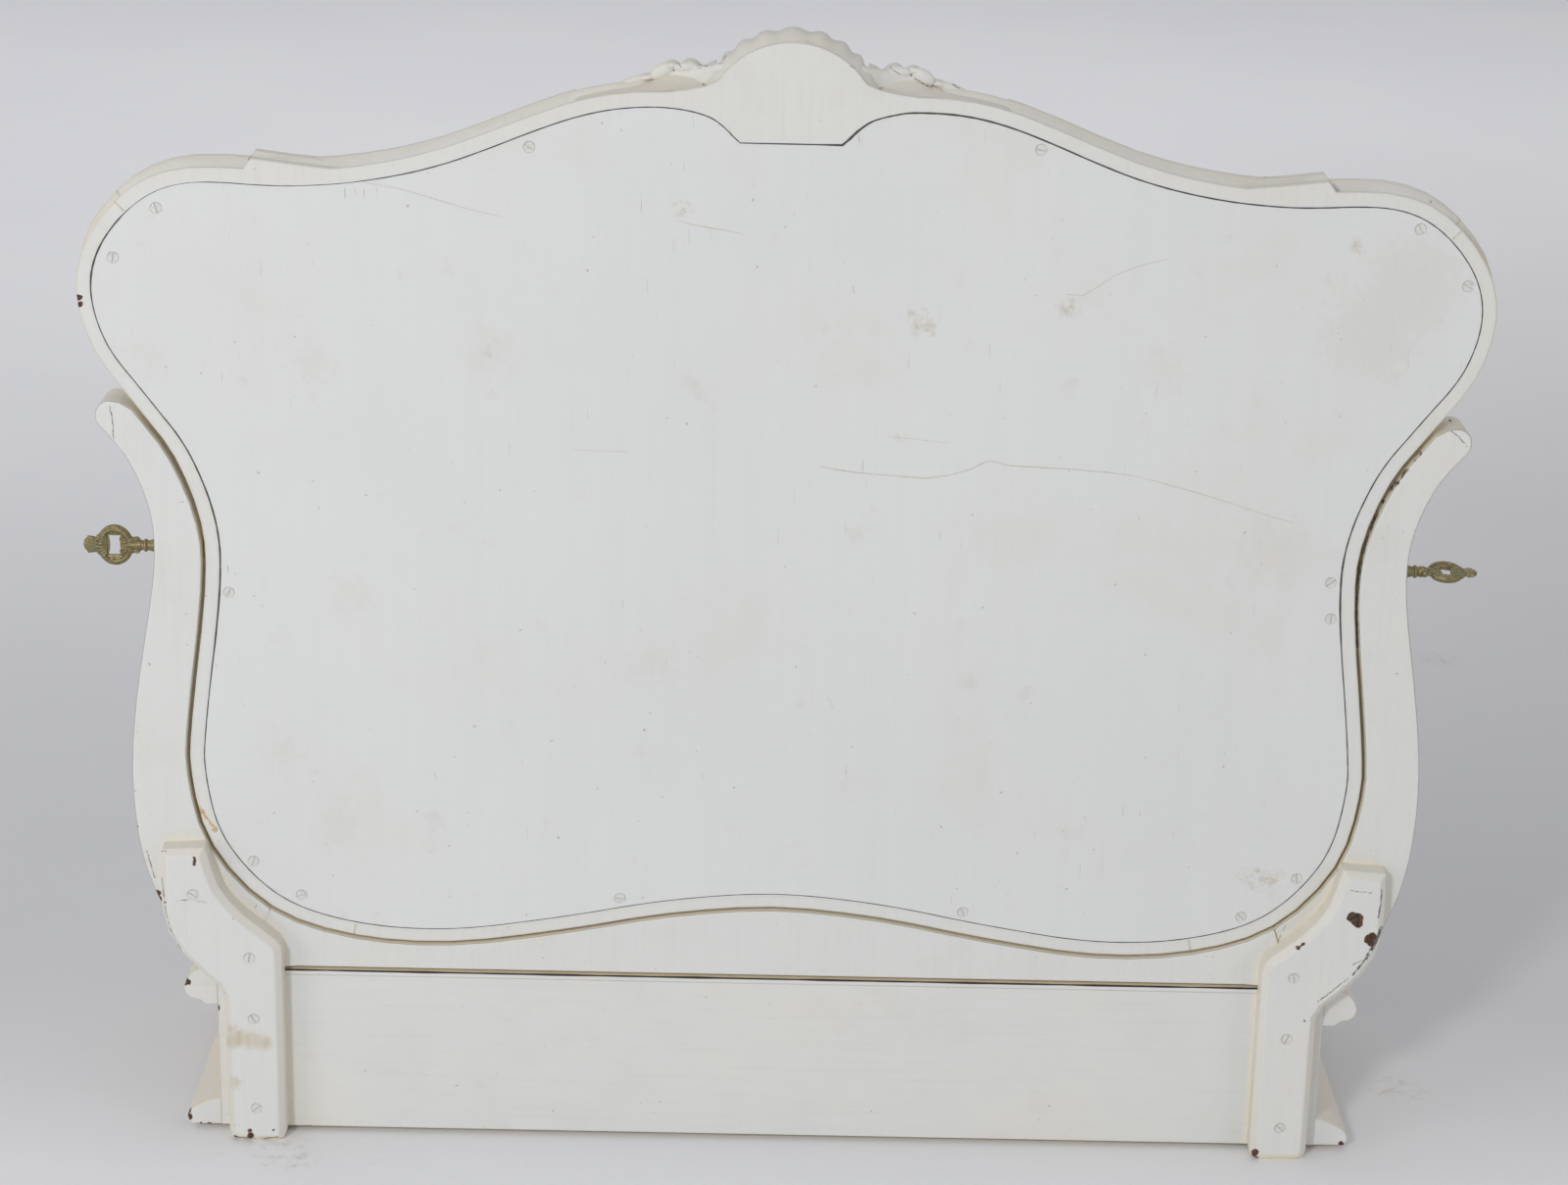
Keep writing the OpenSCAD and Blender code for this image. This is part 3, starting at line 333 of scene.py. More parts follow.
# Thin cooler paint on the back panel, with grain, soft dirt and fine checks
def panel_material():
    m = Mat("panel_white_paint")
    white = (0.748, 0.754, 0.738)
    cloud = m.step(m.noise(m.coords(offset=(3, 0, 1)), 3.2, 4.0, 0.6), 0.35, 0.72)
    warm = m.step(m.noise(m.coords(offset=(9, 0, 4)), 6.5, 5.0, 0.65), 0.5, 0.75)
    colour = m.mix(m.times(cloud, 0.7), white, (0.715, 0.722, 0.705))
    colour = m.tint(colour, warm, 0.38, (0.70, 0.675, 0.61))
    dirt = m.step(m.noise(m.coords(offset=(5, 0, 8)), 26.0, 4.0, 0.62), 0.60, 0.78)
    colour = m.tint(colour, dirt, 0.22, (0.52, 0.49, 0.40))
    colour = m.tint(colour, m.spots(on_back(panel_dirt), 0.05, 0.018), 0.2, (0.60, 0.545, 0.45))
    fine = m.noise(m.coords(scale=(520, 1, 6.5)), 1.0, 5.0, 0.65)
    wide = m.noise(m.coords(scale=(70, 1, 2.2), offset=(4, 0, 0)), 1.0, 4.0, 0.6)
    colour = m.mix(0.75, colour, m.ramp(fine, (0.28, 0.972), (0.45, 0.994), (0.7, 1.0)), "MULTIPLY")
    colour = m.mix(0.8, colour, m.ramp(wide, (0.3, 0.985), (0.6, 1.0)), "MULTIPLY")
    tick = m.noise(m.coords(scale=(900, 1, 38), offset=(2, 0, 7)), 1.0, 2.0, 0.5)
    where = m.noise(m.coords(offset=(1, 0, 2)), 9.0, 2.0)
    ticks = m.times(m.step(tick, 0.70, 0.77), m.step(where, 0.46, 0.60))
    colour = m.tint(colour, ticks, 0.5, (0.36, 0.34, 0.28))
    speck = m.noise(m.coords(offset=(7, 0, 0)), 210.0, 1.0, 0.4)
    colour = m.tint(colour, m.step(speck, 0.775, 0.80), 0.5, (0.34, 0.29, 0.23))
    smudge = m.times(m.spots(on_back(panel_smudges), 0.016, 0.004),
                     m.step(m.noise(m.coords(), 160.0, 5.0, 0.7), 0.40, 0.66))
    colour = m.tint(colour, smudge, 0.6, (0.50, 0.40, 0.28))
    m.set("Base Color", colour)
    m.set("Roughness", m.math("MULTIPLY_ADD", cloud, 0.1, 0.5))
    m.set("Specular IOR Level", 0.4)
    height = m.math("ADD", m.times(fine, 0.8), m.noise(m.coords(), 300.0, 3.0))
    m.set("Normal", m.bump(height, 0.13, 0.0006))
    return m.mat


# Painted screws: the paint is thin and unevenly dirty, and rusty where it is worn through
def screw_material():
    m = Mat("painted_screws")
    dirt = m.noise(m.coords(), 500.0, 4.0, 0.7)
    colour = m.mix(m.step(dirt, 0.45, 0.75), (0.71, 0.71, 0.68), (0.55, 0.53, 0.48))
    bare = m.marks(screw_patch, 6.0, 0.45)
    rust = m.ramp(dirt, (0.35, (0.03, 0.026, 0.022)), (0.6, (0.10, 0.055, 0.035)))
    colour = m.mix(bare, colour, rust)
    m.set("Base Color", colour)
    m.set("Roughness", m.math("MULTIPLY_ADD", dirt, 0.2, 0.4))
    m.set("Normal", m.bump(dirt, 0.3, 0.0004))
    return m.mat


# Brass, dark in its hollows and rubbed on its ridges
def brass_material():
    m = Mat("tarnished_brass")
    n = m.noise(m.coords(), 260.0, 5.0, 0.65)
    low = m.noise(m.coords(), 60.0, 3.0)
    cavity = m.tree.nodes.new("ShaderNodeNewGeometry").outputs["Pointiness"]
    sunk = m.node("ShaderNodeAmbientOcclusion", Distance=0.0035)
    sunk.samples = 6
    colour = m.ramp(n, (0.3, (0.13, 0.10, 0.046)), (0.5, (0.24, 0.195, 0.092)),
                    (0.72, (0.37, 0.305, 0.15)))
    colour = m.tint(colour, m.step(low, 0.42, 0.66), 0.45, (0.19, 0.20, 0.115))
    colour = m.tint(colour, m.step(cavity, 0.50, 0.45), 0.8, (0.045, 0.033, 0.017))
    colour = m.mix(m.step(sunk.outputs["AO"], 0.75, 0.25), colour, (0.06, 0.04, 0.02))
    colour = m.tint(colour, m.step(cavity, 0.51, 0.57), 0.6, (0.66, 0.58, 0.36))
    m.set("Base Color", colour)
    m.set("Metallic", m.math("MULTIPLY_ADD", m.step(n, 0.3, 0.7), 0.3, 0.45))
    m.set("Roughness", m.math("MULTIPLY_ADD", n, 0.3, 0.30))
    m.set("Normal", m.bump(n, 0.25, 0.0004))
    return m.mat


# Bare wood, painted on the faces at the very front
def wood_material():
    m = Mat("bare_wood")
    rings = m.noise(m.coords(scale=(6, 60, 160)), 1.0, 5.0, 0.6, 0.6)
    pores = m.noise(m.coords(scale=(40, 900, 900)), 1.0, 3.0, 0.6)
    colour = m.ramp(rings, (0.3, (0.16, 0.085, 0.04)), (0.5, (0.29, 0.17, 0.088)),
                    (0.72, (0.38, 0.245, 0.135)))
    colour = m.mix(0.6, colour, m.ramp(pores, (0.3, 0.62), (0.55, 1.0)), "MULTIPLY")
    spot = m.node("ShaderNodeSeparateXYZ", Vector=m.place())
    front = m.times(m.step(m.dot(m.facing(), (0.0, -1.0, 0.0)), 0.80, 0.90),
                    m.step(spot.outputs["Y"], -0.06, -0.08))
    paint = m.mix(m.step(rings, 0.3, 0.7), (0.70, 0.67, 0.58), (0.735, 0.735, 0.70))
    m.set("Base Color", m.mix(front, colour, paint))
    m.set("Roughness", m.math("MULTIPLY_ADD", pores, 0.2, 0.5))
    m.set("Normal", m.bump(m.math("ADD", rings, pores), 0.2, 0.0005))
    return m.mat


# Old silvering with a few dull spots
def mirror_material():
    m = Mat("silvered_glass")
    fox = m.noise(m.coords(), 24.0, 6.0, 0.72)
    spot = m.step(fox, 0.70, 0.78)
    m.set("Base Color", m.mix(spot, (0.86, 0.88, 0.875), (0.30, 0.27, 0.22)))
    m.set("Metallic", 1.0)
    m.set("Roughness", m.math("MULTIPLY_ADD", spot, 0.45, 0.025))
    return m.mat


# Strokes (from, to, half width) along lines given as (half width, pixel, pixel, ...)
def strokes_of(*lines):
    got = []
    for r, *points in lines:
        line = [Vector((x, y, 0.0)) for x, y in points]
        got += [(p, q, r) for p, q in zip(line, line[1:])]
    return got


# Dirt of the panel: pixel and radius in metres
panel_dirt = [(1440, 290, 0.030), (1400, 340, 0.030), (150, 365, 0.006), (320, 370, 0.010),
              (360, 605, 0.008), (290, 765, 0.008), (500, 360, 0.012), (660, 675, 0.008),
              (1190, 375, 0.010), (345, 840, 0.010), (1300, 560, 0.020)]
panel_smudges = [(938, 328, 0.007), (950, 337, 0.005), (932, 322, 0.004), (1094, 314, 0.005),
                 (1086, 317, 0.004), (1285, 897, 0.009), (1275, 894, 0.006), (1300, 898, 0.006),
                 (920, 447, 0.003), (500, 358, 0.004), (696, 213, 0.005), (1384, 253, 0.005)]

# Wear of the other pieces, and dark lines of which some are painted shadow, all in pixels, by their
# place in the photograph
screw_patch = [(1384, 938, 6.6), (1386, 942, 5.4), (1380, 936, 5.6)]
brace_left_chips = [(198, 876, 1.6), (198, 879, 2.3), (197.5, 882, 2.0), (168, 921, 1.1),
                    (222, 1027, 4.2), (221, 1018, 2.8), (228, 1022, 2.6), (256, 1158, 3.2),
                    (255, 1153, 2.0), (240, 1160, 1.7), (279, 1153, 1.4), (186, 998, 1.2)]
# The stroke along this brace's foot is painted contact shadow
brace_left_lines = strokes_of(
    (0.5, (166, 896), (168, 925), (173, 947), (186, 972), (200, 985), (212, 1000), (229, 1013)),
    (0.5, (181, 919), (191, 918)), (0.35, (200, 919), (211, 921)),
    (0.6, (235, 1159), (262, 1162), (284, 1160)), (0.5, (164, 869), (170, 868)))
brace_left_stains = [(236, 1062, 7.0), (245, 1060, 8.0), (254, 1061, 8.0), (263, 1062, 7.5),
                     (271, 1064, 6.0), (240, 1104, 5.0), (236, 1050, 4.0)]
brace_right_chips = [*screw_patch, (1397, 958, 4.6), (1401, 955, 4.0), (1399, 963, 3.0),
                     (1330, 963, 2.1), (1328, 965, 1.6), (1325, 967, 2.3), (1280, 1176, 3.8),
                     (1282, 1182, 2.8), (1279, 1188, 2.8), (1326, 1186, 2.1), (1331, 1041, 1.0)]
# The stroke along this brace's foot is painted contact shadow
brace_right_lines = strokes_of(
    (0.8, (1410, 908), (1409, 922), (1406, 936)), (0.4, (1378, 909), (1400, 911)),
    (0.8, (1417, 925), (1413, 942)), (1.7, (1410, 946), (1402, 964), (1394, 978)),
    (1.1, (1392, 980), (1380, 995)), (0.55, (1376, 998), (1358, 1012), (1345, 1022)),
    (0.5, (1381, 984), (1389, 980)), (0.5, (1342, 1100), (1342, 1140)),
    (0.7, (1283, 1188), (1308, 1190), (1328, 1187)))
arm_right_chips = [(1480, 429, 1.6)]
arm_right_flakes = strokes_of(
    (2.1, (1449, 462), (1440, 472), (1432, 484), (1425, 493), (1418, 501), (1412, 509),
     (1408, 518), (1403, 529)))
# The long stroke down the arm's inner edge is painted shade of the gap beside the mirror
arm_right_lines = strokes_of(
    (0.5, (1481, 440), (1490, 447), (1497, 455)),
    (1.3, (1403, 529), (1394, 552), (1387, 585), (1384, 620), (1385, 660)))
arm_left_chips = [(160, 911, 4.0), (162, 917, 3.6), (164, 923, 2.2), (140, 843, 1.6)]
arm_left_lines = strokes_of(
    (0.5, (112, 415), (115, 430), (116, 448)), (0.4, (184, 512), (188, 513)),
    (0.45, (150, 868), (158, 896)))
case_chips = [(189, 1001, 4.4), (185, 1000, 2.6), (193, 1002, 2.6), (221, 1028, 3.6),
              (192, 1139, 4.6), (192, 1132, 3.4), (1368, 1168, 3.6), (1366, 1175, 3.2),
              (213, 1148, 3.0), (222, 1150, 2.8), (205, 1146, 2.2)]
# Painted contact shadow along the bottom edge of the case, partly worn wood at its left end
case_shadow_lines = strokes_of(
    (1.4, (205, 1148), (235, 1149)), (1.0, (290, 1149), (420, 1152), (600, 1157)),
    (1.0, (760, 1160), (1000, 1168), (1150, 1173)), (1.3, (1335, 1177), (1368, 1177)))
frame_chips = [(80, 303, 3.4), (81, 310, 2.8)]
frame_drips = strokes_of(
    (1.6, (194, 806), (198, 816)), (2.0, (198, 816), (202, 825)), (2.6, (202, 825), (207, 829)),
    (1.3, (207, 829), (213, 837), (218, 844)), (2.5, (219, 846), (220, 847)))
crest_lines = strokes_of(
    (0.7, (715, 66), (721, 67.5)), (0.4, (698, 71), (708, 71.5), (716, 69.5)),
    (0.7, (692, 64), (694.5, 68)), (0.6, (731, 63.5), (735, 65.5)), (0.7, (738, 61), (741, 57)),
    (0.5, (909, 69), (912, 72), (919, 76)), (0.7, (929, 75), (935, 81), (943, 86), (951, 89)),
    (0.5, (972, 86), (979, 90)), (0.4, (822, 42.5), (831, 44)), (0.4, (867, 67.5), (872, 69.5)))

# Noise scales that draw brush strokes up and down, or across
UP_DOWN = (260.0, 260.0, 9.0)
ACROSS = (9.0, 260.0, 260.0)
EDGE_TINT = (0.64, 0.55, 0.38)

cream_parts = {
    "left_brace": paint_material("cream_right_of_photo", 2.0, UP_DOWN, brace_right_chips,
                                 worn_and_shadow_lines=brace_right_lines),
    "right_brace": paint_material("cream_left_of_photo", 3.0, UP_DOWN, brace_left_chips,
                                  brace_left_stains, brace_left_lines),
    "harp_left_arm": paint_material("cream_arm_a", 4.0, UP_DOWN, arm_right_chips,
                                    worn_and_shadow_lines=arm_right_lines, flaked=arm_right_flakes),
    "harp_right_arm": paint_material("cream_arm_b", 5.0, UP_DOWN, arm_left_chips,
                                     worn_and_shadow_lines=arm_left_lines),
    "mirror_right_stile": paint_material("cream_stile", 6.0, UP_DOWN, frame_chips,
                                         drips=frame_drips, edge_tint=EDGE_TINT),
    "mirror_left_stile": paint_material("cream_frame", 9.0, UP_DOWN, edge_tint=EDGE_TINT),
}
cream_parts["mirror_bottom_rail"] = cream_parts["mirror_left_stile"]
case_paint = paint_material("cream_case", 7.0, ACROSS, case_chips, worn_and_shadow_lines=case_shadow_lines,
                            cream=(0.80, 0.725, 0.595))
cream = paint_material("cream", 1.0, UP_DOWN)
# The crest's hollows take a darker tint, dust and painted shade
crest = paint_material("cream_crest", 8.0, UP_DOWN, worn_and_shadow_lines=crest_lines,
                       white=(0.740, 0.736, 0.700), cream=(0.745, 0.705, 0.61),
                       dust_and_shade_colour=(0.70, 0.64, 0.52))
by_slot = {"frame_paint": cream, "panel_paint": panel_material(), "screw_steel": screw_material(),
           "brass": brass_material(), "bare_wood": wood_material(), "mirror_glass": mirror_material()}


# Points this close are one. Angles in degrees: edges from the first one on are
# drawn sharp, those from the second one on are rounded, and faces within the
# third one are one flat face.
SAME_POINT = 1e-5
SHARP_FROM = 32.0
ROUND_FROM = 40.0
FLAT_WITHIN = 0.05
EDGE_ROUND = 0.0007


# A modifier's nodes: points joined, faces smooth up to an angle
def by_angle():
    g = bpy.data.node_groups.new("shade_by_angle", "GeometryNodeTree")
    g.interface.new_socket("Geometry", in_out="INPUT", socket_type="NodeSocketGeometry")
    g.interface.new_socket("Geometry", in_out="OUTPUT", socket_type="NodeSocketGeometry")
    start = g.nodes.new("NodeGroupInput")
    end = g.nodes.new("NodeGroupOutput")
    merge = g.nodes.new("GeometryNodeMergeByDistance")
    merge.inputs["Distance"].default_value = SAME_POINT
    angle = g.nodes.new("GeometryNodeInputMeshEdgeAngle")
    sharp = g.nodes.new("FunctionNodeCompare")
    sharp.data_type = "FLOAT"
    sharp.operation = "GREATER_THAN"
    sharp.inputs[1].default_value = math.radians(SHARP_FROM)
    normal = g.nodes.new("GeometryNodeSetMeshNormal")
    normal.mode = "SHARPNESS"
    normal.inputs["Remove Custom"].default_value = True
    normal.inputs["Face Sharpness"].default_value = False
    g.links.new(start.outputs[0], merge.inputs["Geometry"])
    g.links.new(merge.outputs["Geometry"], normal.inputs["Mesh"])
    g.links.new(angle.outputs["Unsigned Angle"], sharp.inputs[0])
    g.links.new(sharp.outputs[0], normal.inputs["Edge Sharpness"])
    g.links.new(normal.outputs[0], end.inputs[0])
    return g


def look_of(name):
    kind = slot_of[name]
    if name in crest_parts:
        return crest
    if kind == "frame_paint" and name.startswith(("base_", "top_", "bottom_")):
        return case_paint
    return cream_parts.get(name, by_slot[kind])


carved = ("crest_shell", "left_leaf_spray", "right_leaf_spray")
crest_parts = (*carved, "mirror_top_rail")

# Edges of painted boards are rounded a little, except on these
unrounded = (*carved, "base_back_board", "base_top_board")
shading = by_angle()
for name, obj in nodes.items():
    if not obj.material_slots:
        obj.data.materials.append(None)
    for slot in obj.material_slots:
        slot.material = look_of(name)
    mod = obj.modifiers.new("shade_by_angle", "NODES")
    mod.node_group = shading
    if slot_of[name] in ("frame_paint", "panel_paint") and name not in unrounded:
        mod = obj.modifiers.new("join_flat_faces", "DECIMATE")
        mod.decimate_type = "DISSOLVE"
        mod.angle_limit = math.radians(FLAT_WITHIN)
        mod.delimit = {"SHARP"}
        mod = obj.modifiers.new("round_edges", "BEVEL")
        mod.loop_slide = False
        mod.width = EDGE_ROUND
        mod.segments = 2
        mod.limit_method = "ANGLE"
        mod.angle_limit = math.radians(ROUND_FROM)
        mod.use_clamp_overlap = False


# A modelled mesh that rides on a body
def add_piece(name, bm, mat, body, smooth=True):
    me = bpy.data.meshes.new(name)
    bm.to_mesh(me)
    bm.free()
    for poly in me.polygons:
        poly.use_smooth = smooth
    me.materials.append(mat)
    o = bpy.data.objects.new(name, me)
    scene.collection.objects.link(o)
    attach(o, body)
    return o


# Point s of a round of this many sides
def round_at(s, sides):
    return math.cos(2 * math.pi * s / sides), math.sin(2 * math.pi * s / sides)


# Faces between neighbouring rings of points, each a closed round
def skin(bm, rings):
    for a, b in zip(rings, rings[1:]):
        for s in range(len(a)):
            j = (s + 1) % len(a)
            bm.faces.new((a[s], a[j], b[j], b[s]))


# A tube along points, whose radius may change on the way
def tube(bm, points, radii, sides=10, closed=False, place=Matrix()):
    n = len(points)
    rings = []
    for k in range(n):
        a = points[k - 1] if closed or k > 0 else points[0]
        b = points[(k + 1) % n] if closed or k < n - 1 else points[-1]
        t = (b - a).normalized()
        side = t.orthogonal() if abs(t.y) > 0.99 else t.cross(Vector((0, 1, 0)))
        side = side.normalized()
        other = t.cross(side).normalized()
        r = radii[k] if isinstance(radii, (list, tuple)) else radii
        ring = []
        for s in range(sides):
            x, y = round_at(s, sides)
            ring.append(bm.verts.new(place @ (points[k] + side * (r * x) + other * (r * y))))
        rings.append(ring)
    if closed:
        skin(bm, rings + rings[:1])
    else:
        skin(bm, rings)
        bm.faces.new(rings[0][::-1])
        bm.faces.new(rings[-1])


def ball(bm, place, centre, size):
    got = bmesh.ops.create_icosphere(bm, subdivisions=3, radius=1.0)
    m = place @ Matrix.Translation(centre) @ Matrix.Diagonal((*size, 1.0))
    bmesh.ops.transform(bm, matrix=m, verts=got["verts"])


# A turned solid from pairs of radius and height
def lathe(bm, place, profile, sides=40):
    rings = []
    for r, z in profile:
        spots = [round_at(s, sides) for s in range(sides)]
        rings.append([bm.verts.new(place @ Vector((r * x, r * y, z))) for x, y in spots])
    skin(bm, rings)
    bm.faces.new(rings[0][::-1])
    bm.faces.new(rings[-1])


# A spiral roll on both faces of a key's head
def volute(bm, place, side, across, along, r0, turns, start, thick, sink):
    for face in (-1, 1):
        path = []
        wide = []
        for k in range(25):
            u = k / 24
            t = start + turns * 2 * math.pi * u
            r = r0 * (1 - 0.93 * u)
            path.append(Vector((side * (across + r * math.cos(t)), face * (sink + 0.0007 * u),
                                along + r * math.sin(t))))
            wide.append(thick * (1 - 0.35 * u))
        tube(bm, path, wide, 10, False, place)


# Heights along a key: its seat on the arm lies this far below its tip, and the
# middle of the opening lies this far above the seat
KEY_HEAD = 0.0545
OPENING = 0.0315
SHANK = 0.00405


# Turned foot of the head: radius and height above the seat
def key_shank(bm, place, inner, seat):
    profile = [(SHANK, 0.0002), (0.0056, 0.0002), (0.0055, 0.0012), (0.0049, 0.0030),
               (0.0041, 0.0052), (0.0037, 0.0072), (0.0038, 0.0080), (0.0047, 0.0087),
               (0.0048, 0.0098), (0.0038, 0.0106), (0.0036, 0.0118), (0.0041, 0.0130),
               (0.0040, 0.0150), (0.0030, 0.0180), (0.0016, 0.0205)]
    lathe(bm, place, [(SHANK, inner)] + [(r, seat + h) for r, h in profile])


# Plate round the opening, which is narrower at its middle
def key_plate(bm, place, centre):
    hole = [(0.0074, 0.0052), (0.0052, 0.0043), (0.0030, 0.0040), (0.0, 0.0037),
            (-0.0030, 0.0040), (-0.0052, 0.0043), (-0.0074, 0.0052)]
    inside = hole + [(x, -z) for x, z in hole[::-1]]
    outside = []
    for x, z in inside:
        a = math.atan2(z * 1.15, x)
        outside.append((0.0139 * math.cos(a), 0.0126 * math.sin(a)))
    rows = []
    for points, t in ((inside, 0.0014), (outside, 0.0021)):
        for face in (-1, 1):
            rows.append([bm.verts.new(place @ Vector((x, face * t, centre + z))) for x, z in points])
    n = len(inside)
    for k in range(n):
        j = (k + 1) % n
        for a, b in ((0, 2), (3, 1), (1, 0), (2, 3)):
            bm.faces.new((rows[a][k], rows[a][j], rows[b][j], rows[b][k]))


# One side of the head: its scroll, beads, ribs and rolls
def key_side(bm, place, s, seat, centre):
    path = []
    wide = []
    for k in range(33):
        t = math.radians(-72 + 144 * k / 32)
        path.append(Vector((s * 0.0126 * math.cos(t), 0.0, centre + 0.0114 * math.sin(t))))
        wide.append(0.0018 + 0.0009 * math.cos(t) ** 2)
    tube(bm, path, wide, 14, False, place)
    turns = [math.radians(a) for a in range(-64, 65, 8)]
    for face in (-1, 1):
        path = [Vector((s * 0.0121 * math.cos(a), face * 0.0019, centre + 0.0109 * math.sin(a)))
                for a in turns]
        tube(bm, path, [0.0011 + 0.0004 * math.cos(a) for a in turns], 10, False, place)
        for k in range(4):
            u = k / 3
            a = Vector((s * (0.0009 + 0.0044 * u), face * 0.0017, centre + 0.0056 + 0.0003 * u))
            b = Vector((s * (0.0016 + 0.0078 * u), face * 0.0010, centre + 0.0137 - 0.0046 * u * u))
            mid = (a + b) / 2 + Vector((0, face * 0.0010, 0))
            tube(bm, [a, mid, b], [0.0008, 0.0013, 0.0008], 10, False, place)
        for z in (-0.0022, 0.0022):
            ball(bm, place, Vector((s * 0.0098, face * 0.0018, centre + z)), (0.0010, 0.0007, 0.0017))
    volute(bm, place, s, 0.0040, centre - 0.0066, 0.0027, 1.15, math.radians(20), 0.0011, 0.0013)
    volute(bm, place, s, 0.0042, seat + 0.0160, 0.0020, 0.9, math.radians(200), 0.0010, 0.0010)
    ball(bm, place, Vector((s * 0.0038, 0.0, seat + 0.0160)), (0.0027, 0.0020, 0.0028))
    ball(bm, place, Vector((s * 0.0036, 0.0, seat + 0.0196)), (0.0030, 0.0018, 0.0026))
    ball(bm, place, Vector((s * 0.0040, 0.0, centre + 0.0100)), (0.0045, 0.0021, 0.0040))


# Buds in the middle, and a leaf of five ribs at the tip
def key_leaf(bm, place, seat):
    for face in (-1, 1):
        ball(bm, place, Vector((0.0, face * 0.0012, seat + 0.0185)), (0.0019, 0.0017, 0.0052))
    ball(bm, place, Vector((0.0, 0.0, seat + 0.0195)), (0.0034, 0.0022, 0.0050))
    ball(bm, place, Vector((0.0, 0.0, seat + 0.0481)), (0.0064, 0.0021, 0.0061))
    for k in (-2, -1, 0, 1, 2):
        a = Vector((0.0007 * k, 0.0, seat + 0.0440))
        b = Vector((0.0021 * k, 0.0, seat + 0.0485 - 0.0001 * k * k))
        c = Vector((0.00245 * k, 0.0, seat + 0.0527 - 0.00062 * k * k))
        tube(bm, [a, b, c], [0.0015, 0.0021, 0.0013], 12, False, place)
        ball(bm, place, c, (0.0018, 0.0015, 0.0017))


# Overlapping solids become one smooth body
def join_solids(o, name, voxel, passes):
    mod = o.modifiers.new(name, "REMESH")
    mod.mode = "VOXEL"
    mod.voxel_size = voxel
    mod.use_smooth_shade = True
    mod = o.modifiers.new("soften", "SMOOTH")
    mod.factor = 0.5
    mod.iterations = passes


# A turn key as one casting, turned about the CAD key's axis
def turn_key(name, node, side, turn, body):
    lo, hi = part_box(node)
    tip = hi.x if side > 0 else -lo.x
    inner = lo.x if side > 0 else -hi.x
    seat = tip - KEY_HEAD
    centre = seat + OPENING
    pivot = Vector((0.0, (lo.y + hi.y) / 2, (lo.z + hi.z) / 2))
    place = (Matrix.Translation(pivot) @ Matrix.Rotation(math.radians(side * 90), 4, "Y")
             @ Matrix.Rotation(math.radians(turn), 4, "Z"))
    bm = bmesh.new()
    key_shank(bm, place, inner, seat)
    key_plate(bm, place, centre)
    for s in (-1, 1):
        key_side(bm, place, s, seat, centre)
    key_leaf(bm, place, seat)
    o = add_piece(name, bm, by_slot["brass"], body)
    join_solids(o, "cast_as_one", 0.00024, 2)
    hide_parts(node)


# Webs beside the arch: columns of (x, y, lowest z, highest z), and the backs of
# leaves on them, of (x, y, z, half width, half depth, half height, tilt)
web_columns = ((0.0905, 0.0936, 0.7885, 0.8075), (0.084, 0.0950, 0.7880, 0.8100),
               (0.076, 0.0957, 0.7875, 0.8130), (0.068, 0.0972, 0.7875, 0.8145),
               (0.061, 0.1000, 0.7880, 0.8155), (0.055, 0.1035, 0.7890, 0.8170),
               (0.049, 0.1070, 0.7910, 0.8190), (0.044, 0.1085, 0.7930, 0.8200))
web_leaves = ((0.0735, 0.0930, 0.8140, 0.0090, 0.0030, 0.0036, 4.0),
              (0.0905, 0.0922, 0.8105, 0.0092, 0.0032, 0.0052, 30.0),
              (0.1100, 0.0898, 0.8025, 0.0125, 0.0024, 0.0036, 17.0))
WEB_DEPTH = 0.006


# Back of the carving beside the arch, hollowed a little
def crest_web(name, side):
    bm = bmesh.new()
    grid = []
    for x, y, low, high in web_columns:
        line = []
        for k in range(9):
            t = k / 8
            fall = 0.0028 * (1 - t) ** 3 + 0.0016 * (t - 0.55) ** 2
            line.append((side * x, y + fall - 0.0022 * t ** 6, low + (high - low) * t))
        grid.append(line)
    rows = []
    for sink in (0.0, WEB_DEPTH):
        rows.append([[bm.verts.new((x, y - sink, z)) for x, y, z in line] for line in grid])
    n = len(grid)
    for sheet in rows:
        for i in range(n - 1):
            for k in range(8):
                a, b = sheet[i], sheet[i + 1]
                bm.faces.new((a[k], b[k], b[k + 1], a[k + 1]))
    rim = ([(i, 0) for i in range(n)] + [(n - 1, k) for k in range(1, 9)]
           + [(i, 8) for i in range(n - 2, -1, -1)] + [(0, k) for k in range(7, 0, -1)])
    for (i, k), (j, h) in zip(rim, rim[1:] + rim[:1]):
        bm.faces.new((rows[0][i][k], rows[0][j][h], rows[1][j][h], rows[1][i][k]))
    bmesh.ops.recalc_face_normals(bm, faces=bm.faces)
    for x, y, z, wide, thick, tall, tilt in web_leaves:
        turned = Matrix.Rotation(math.radians(side * tilt), 4, "Y")
        ball(bm, Matrix.Translation((side * x, y, z)) @ turned, Vector((0, 0, 0)), (wide, thick, tall))
    join_solids(add_piece(name, bm, crest, "mirror"), "carved_as_one", 0.0006, 4)


crest_web("left_crest_web", -1)
crest_web("right_crest_web", 1)

turn_key("left_turn_key", "left_pivot_key", -1, -85.0, "left_key")
turn_key("right_turn_key", "right_pivot_key", 1, 0.0, "right_key")


# Where a line from the front meets a drawer's front
def on_front(node, x, z):
    return node.ray_cast(Vector((x, -0.6, z)), Vector((0.0, 1.0, 0.0)))[1]


# A bead on a drawer's front, this far inside its edge, and a beaded knob plate
BEAD_INSET = 0.0055
BEAD_RADIUS = 0.0014
PEARLS = 24
PEARL_ROUND = 0.0146


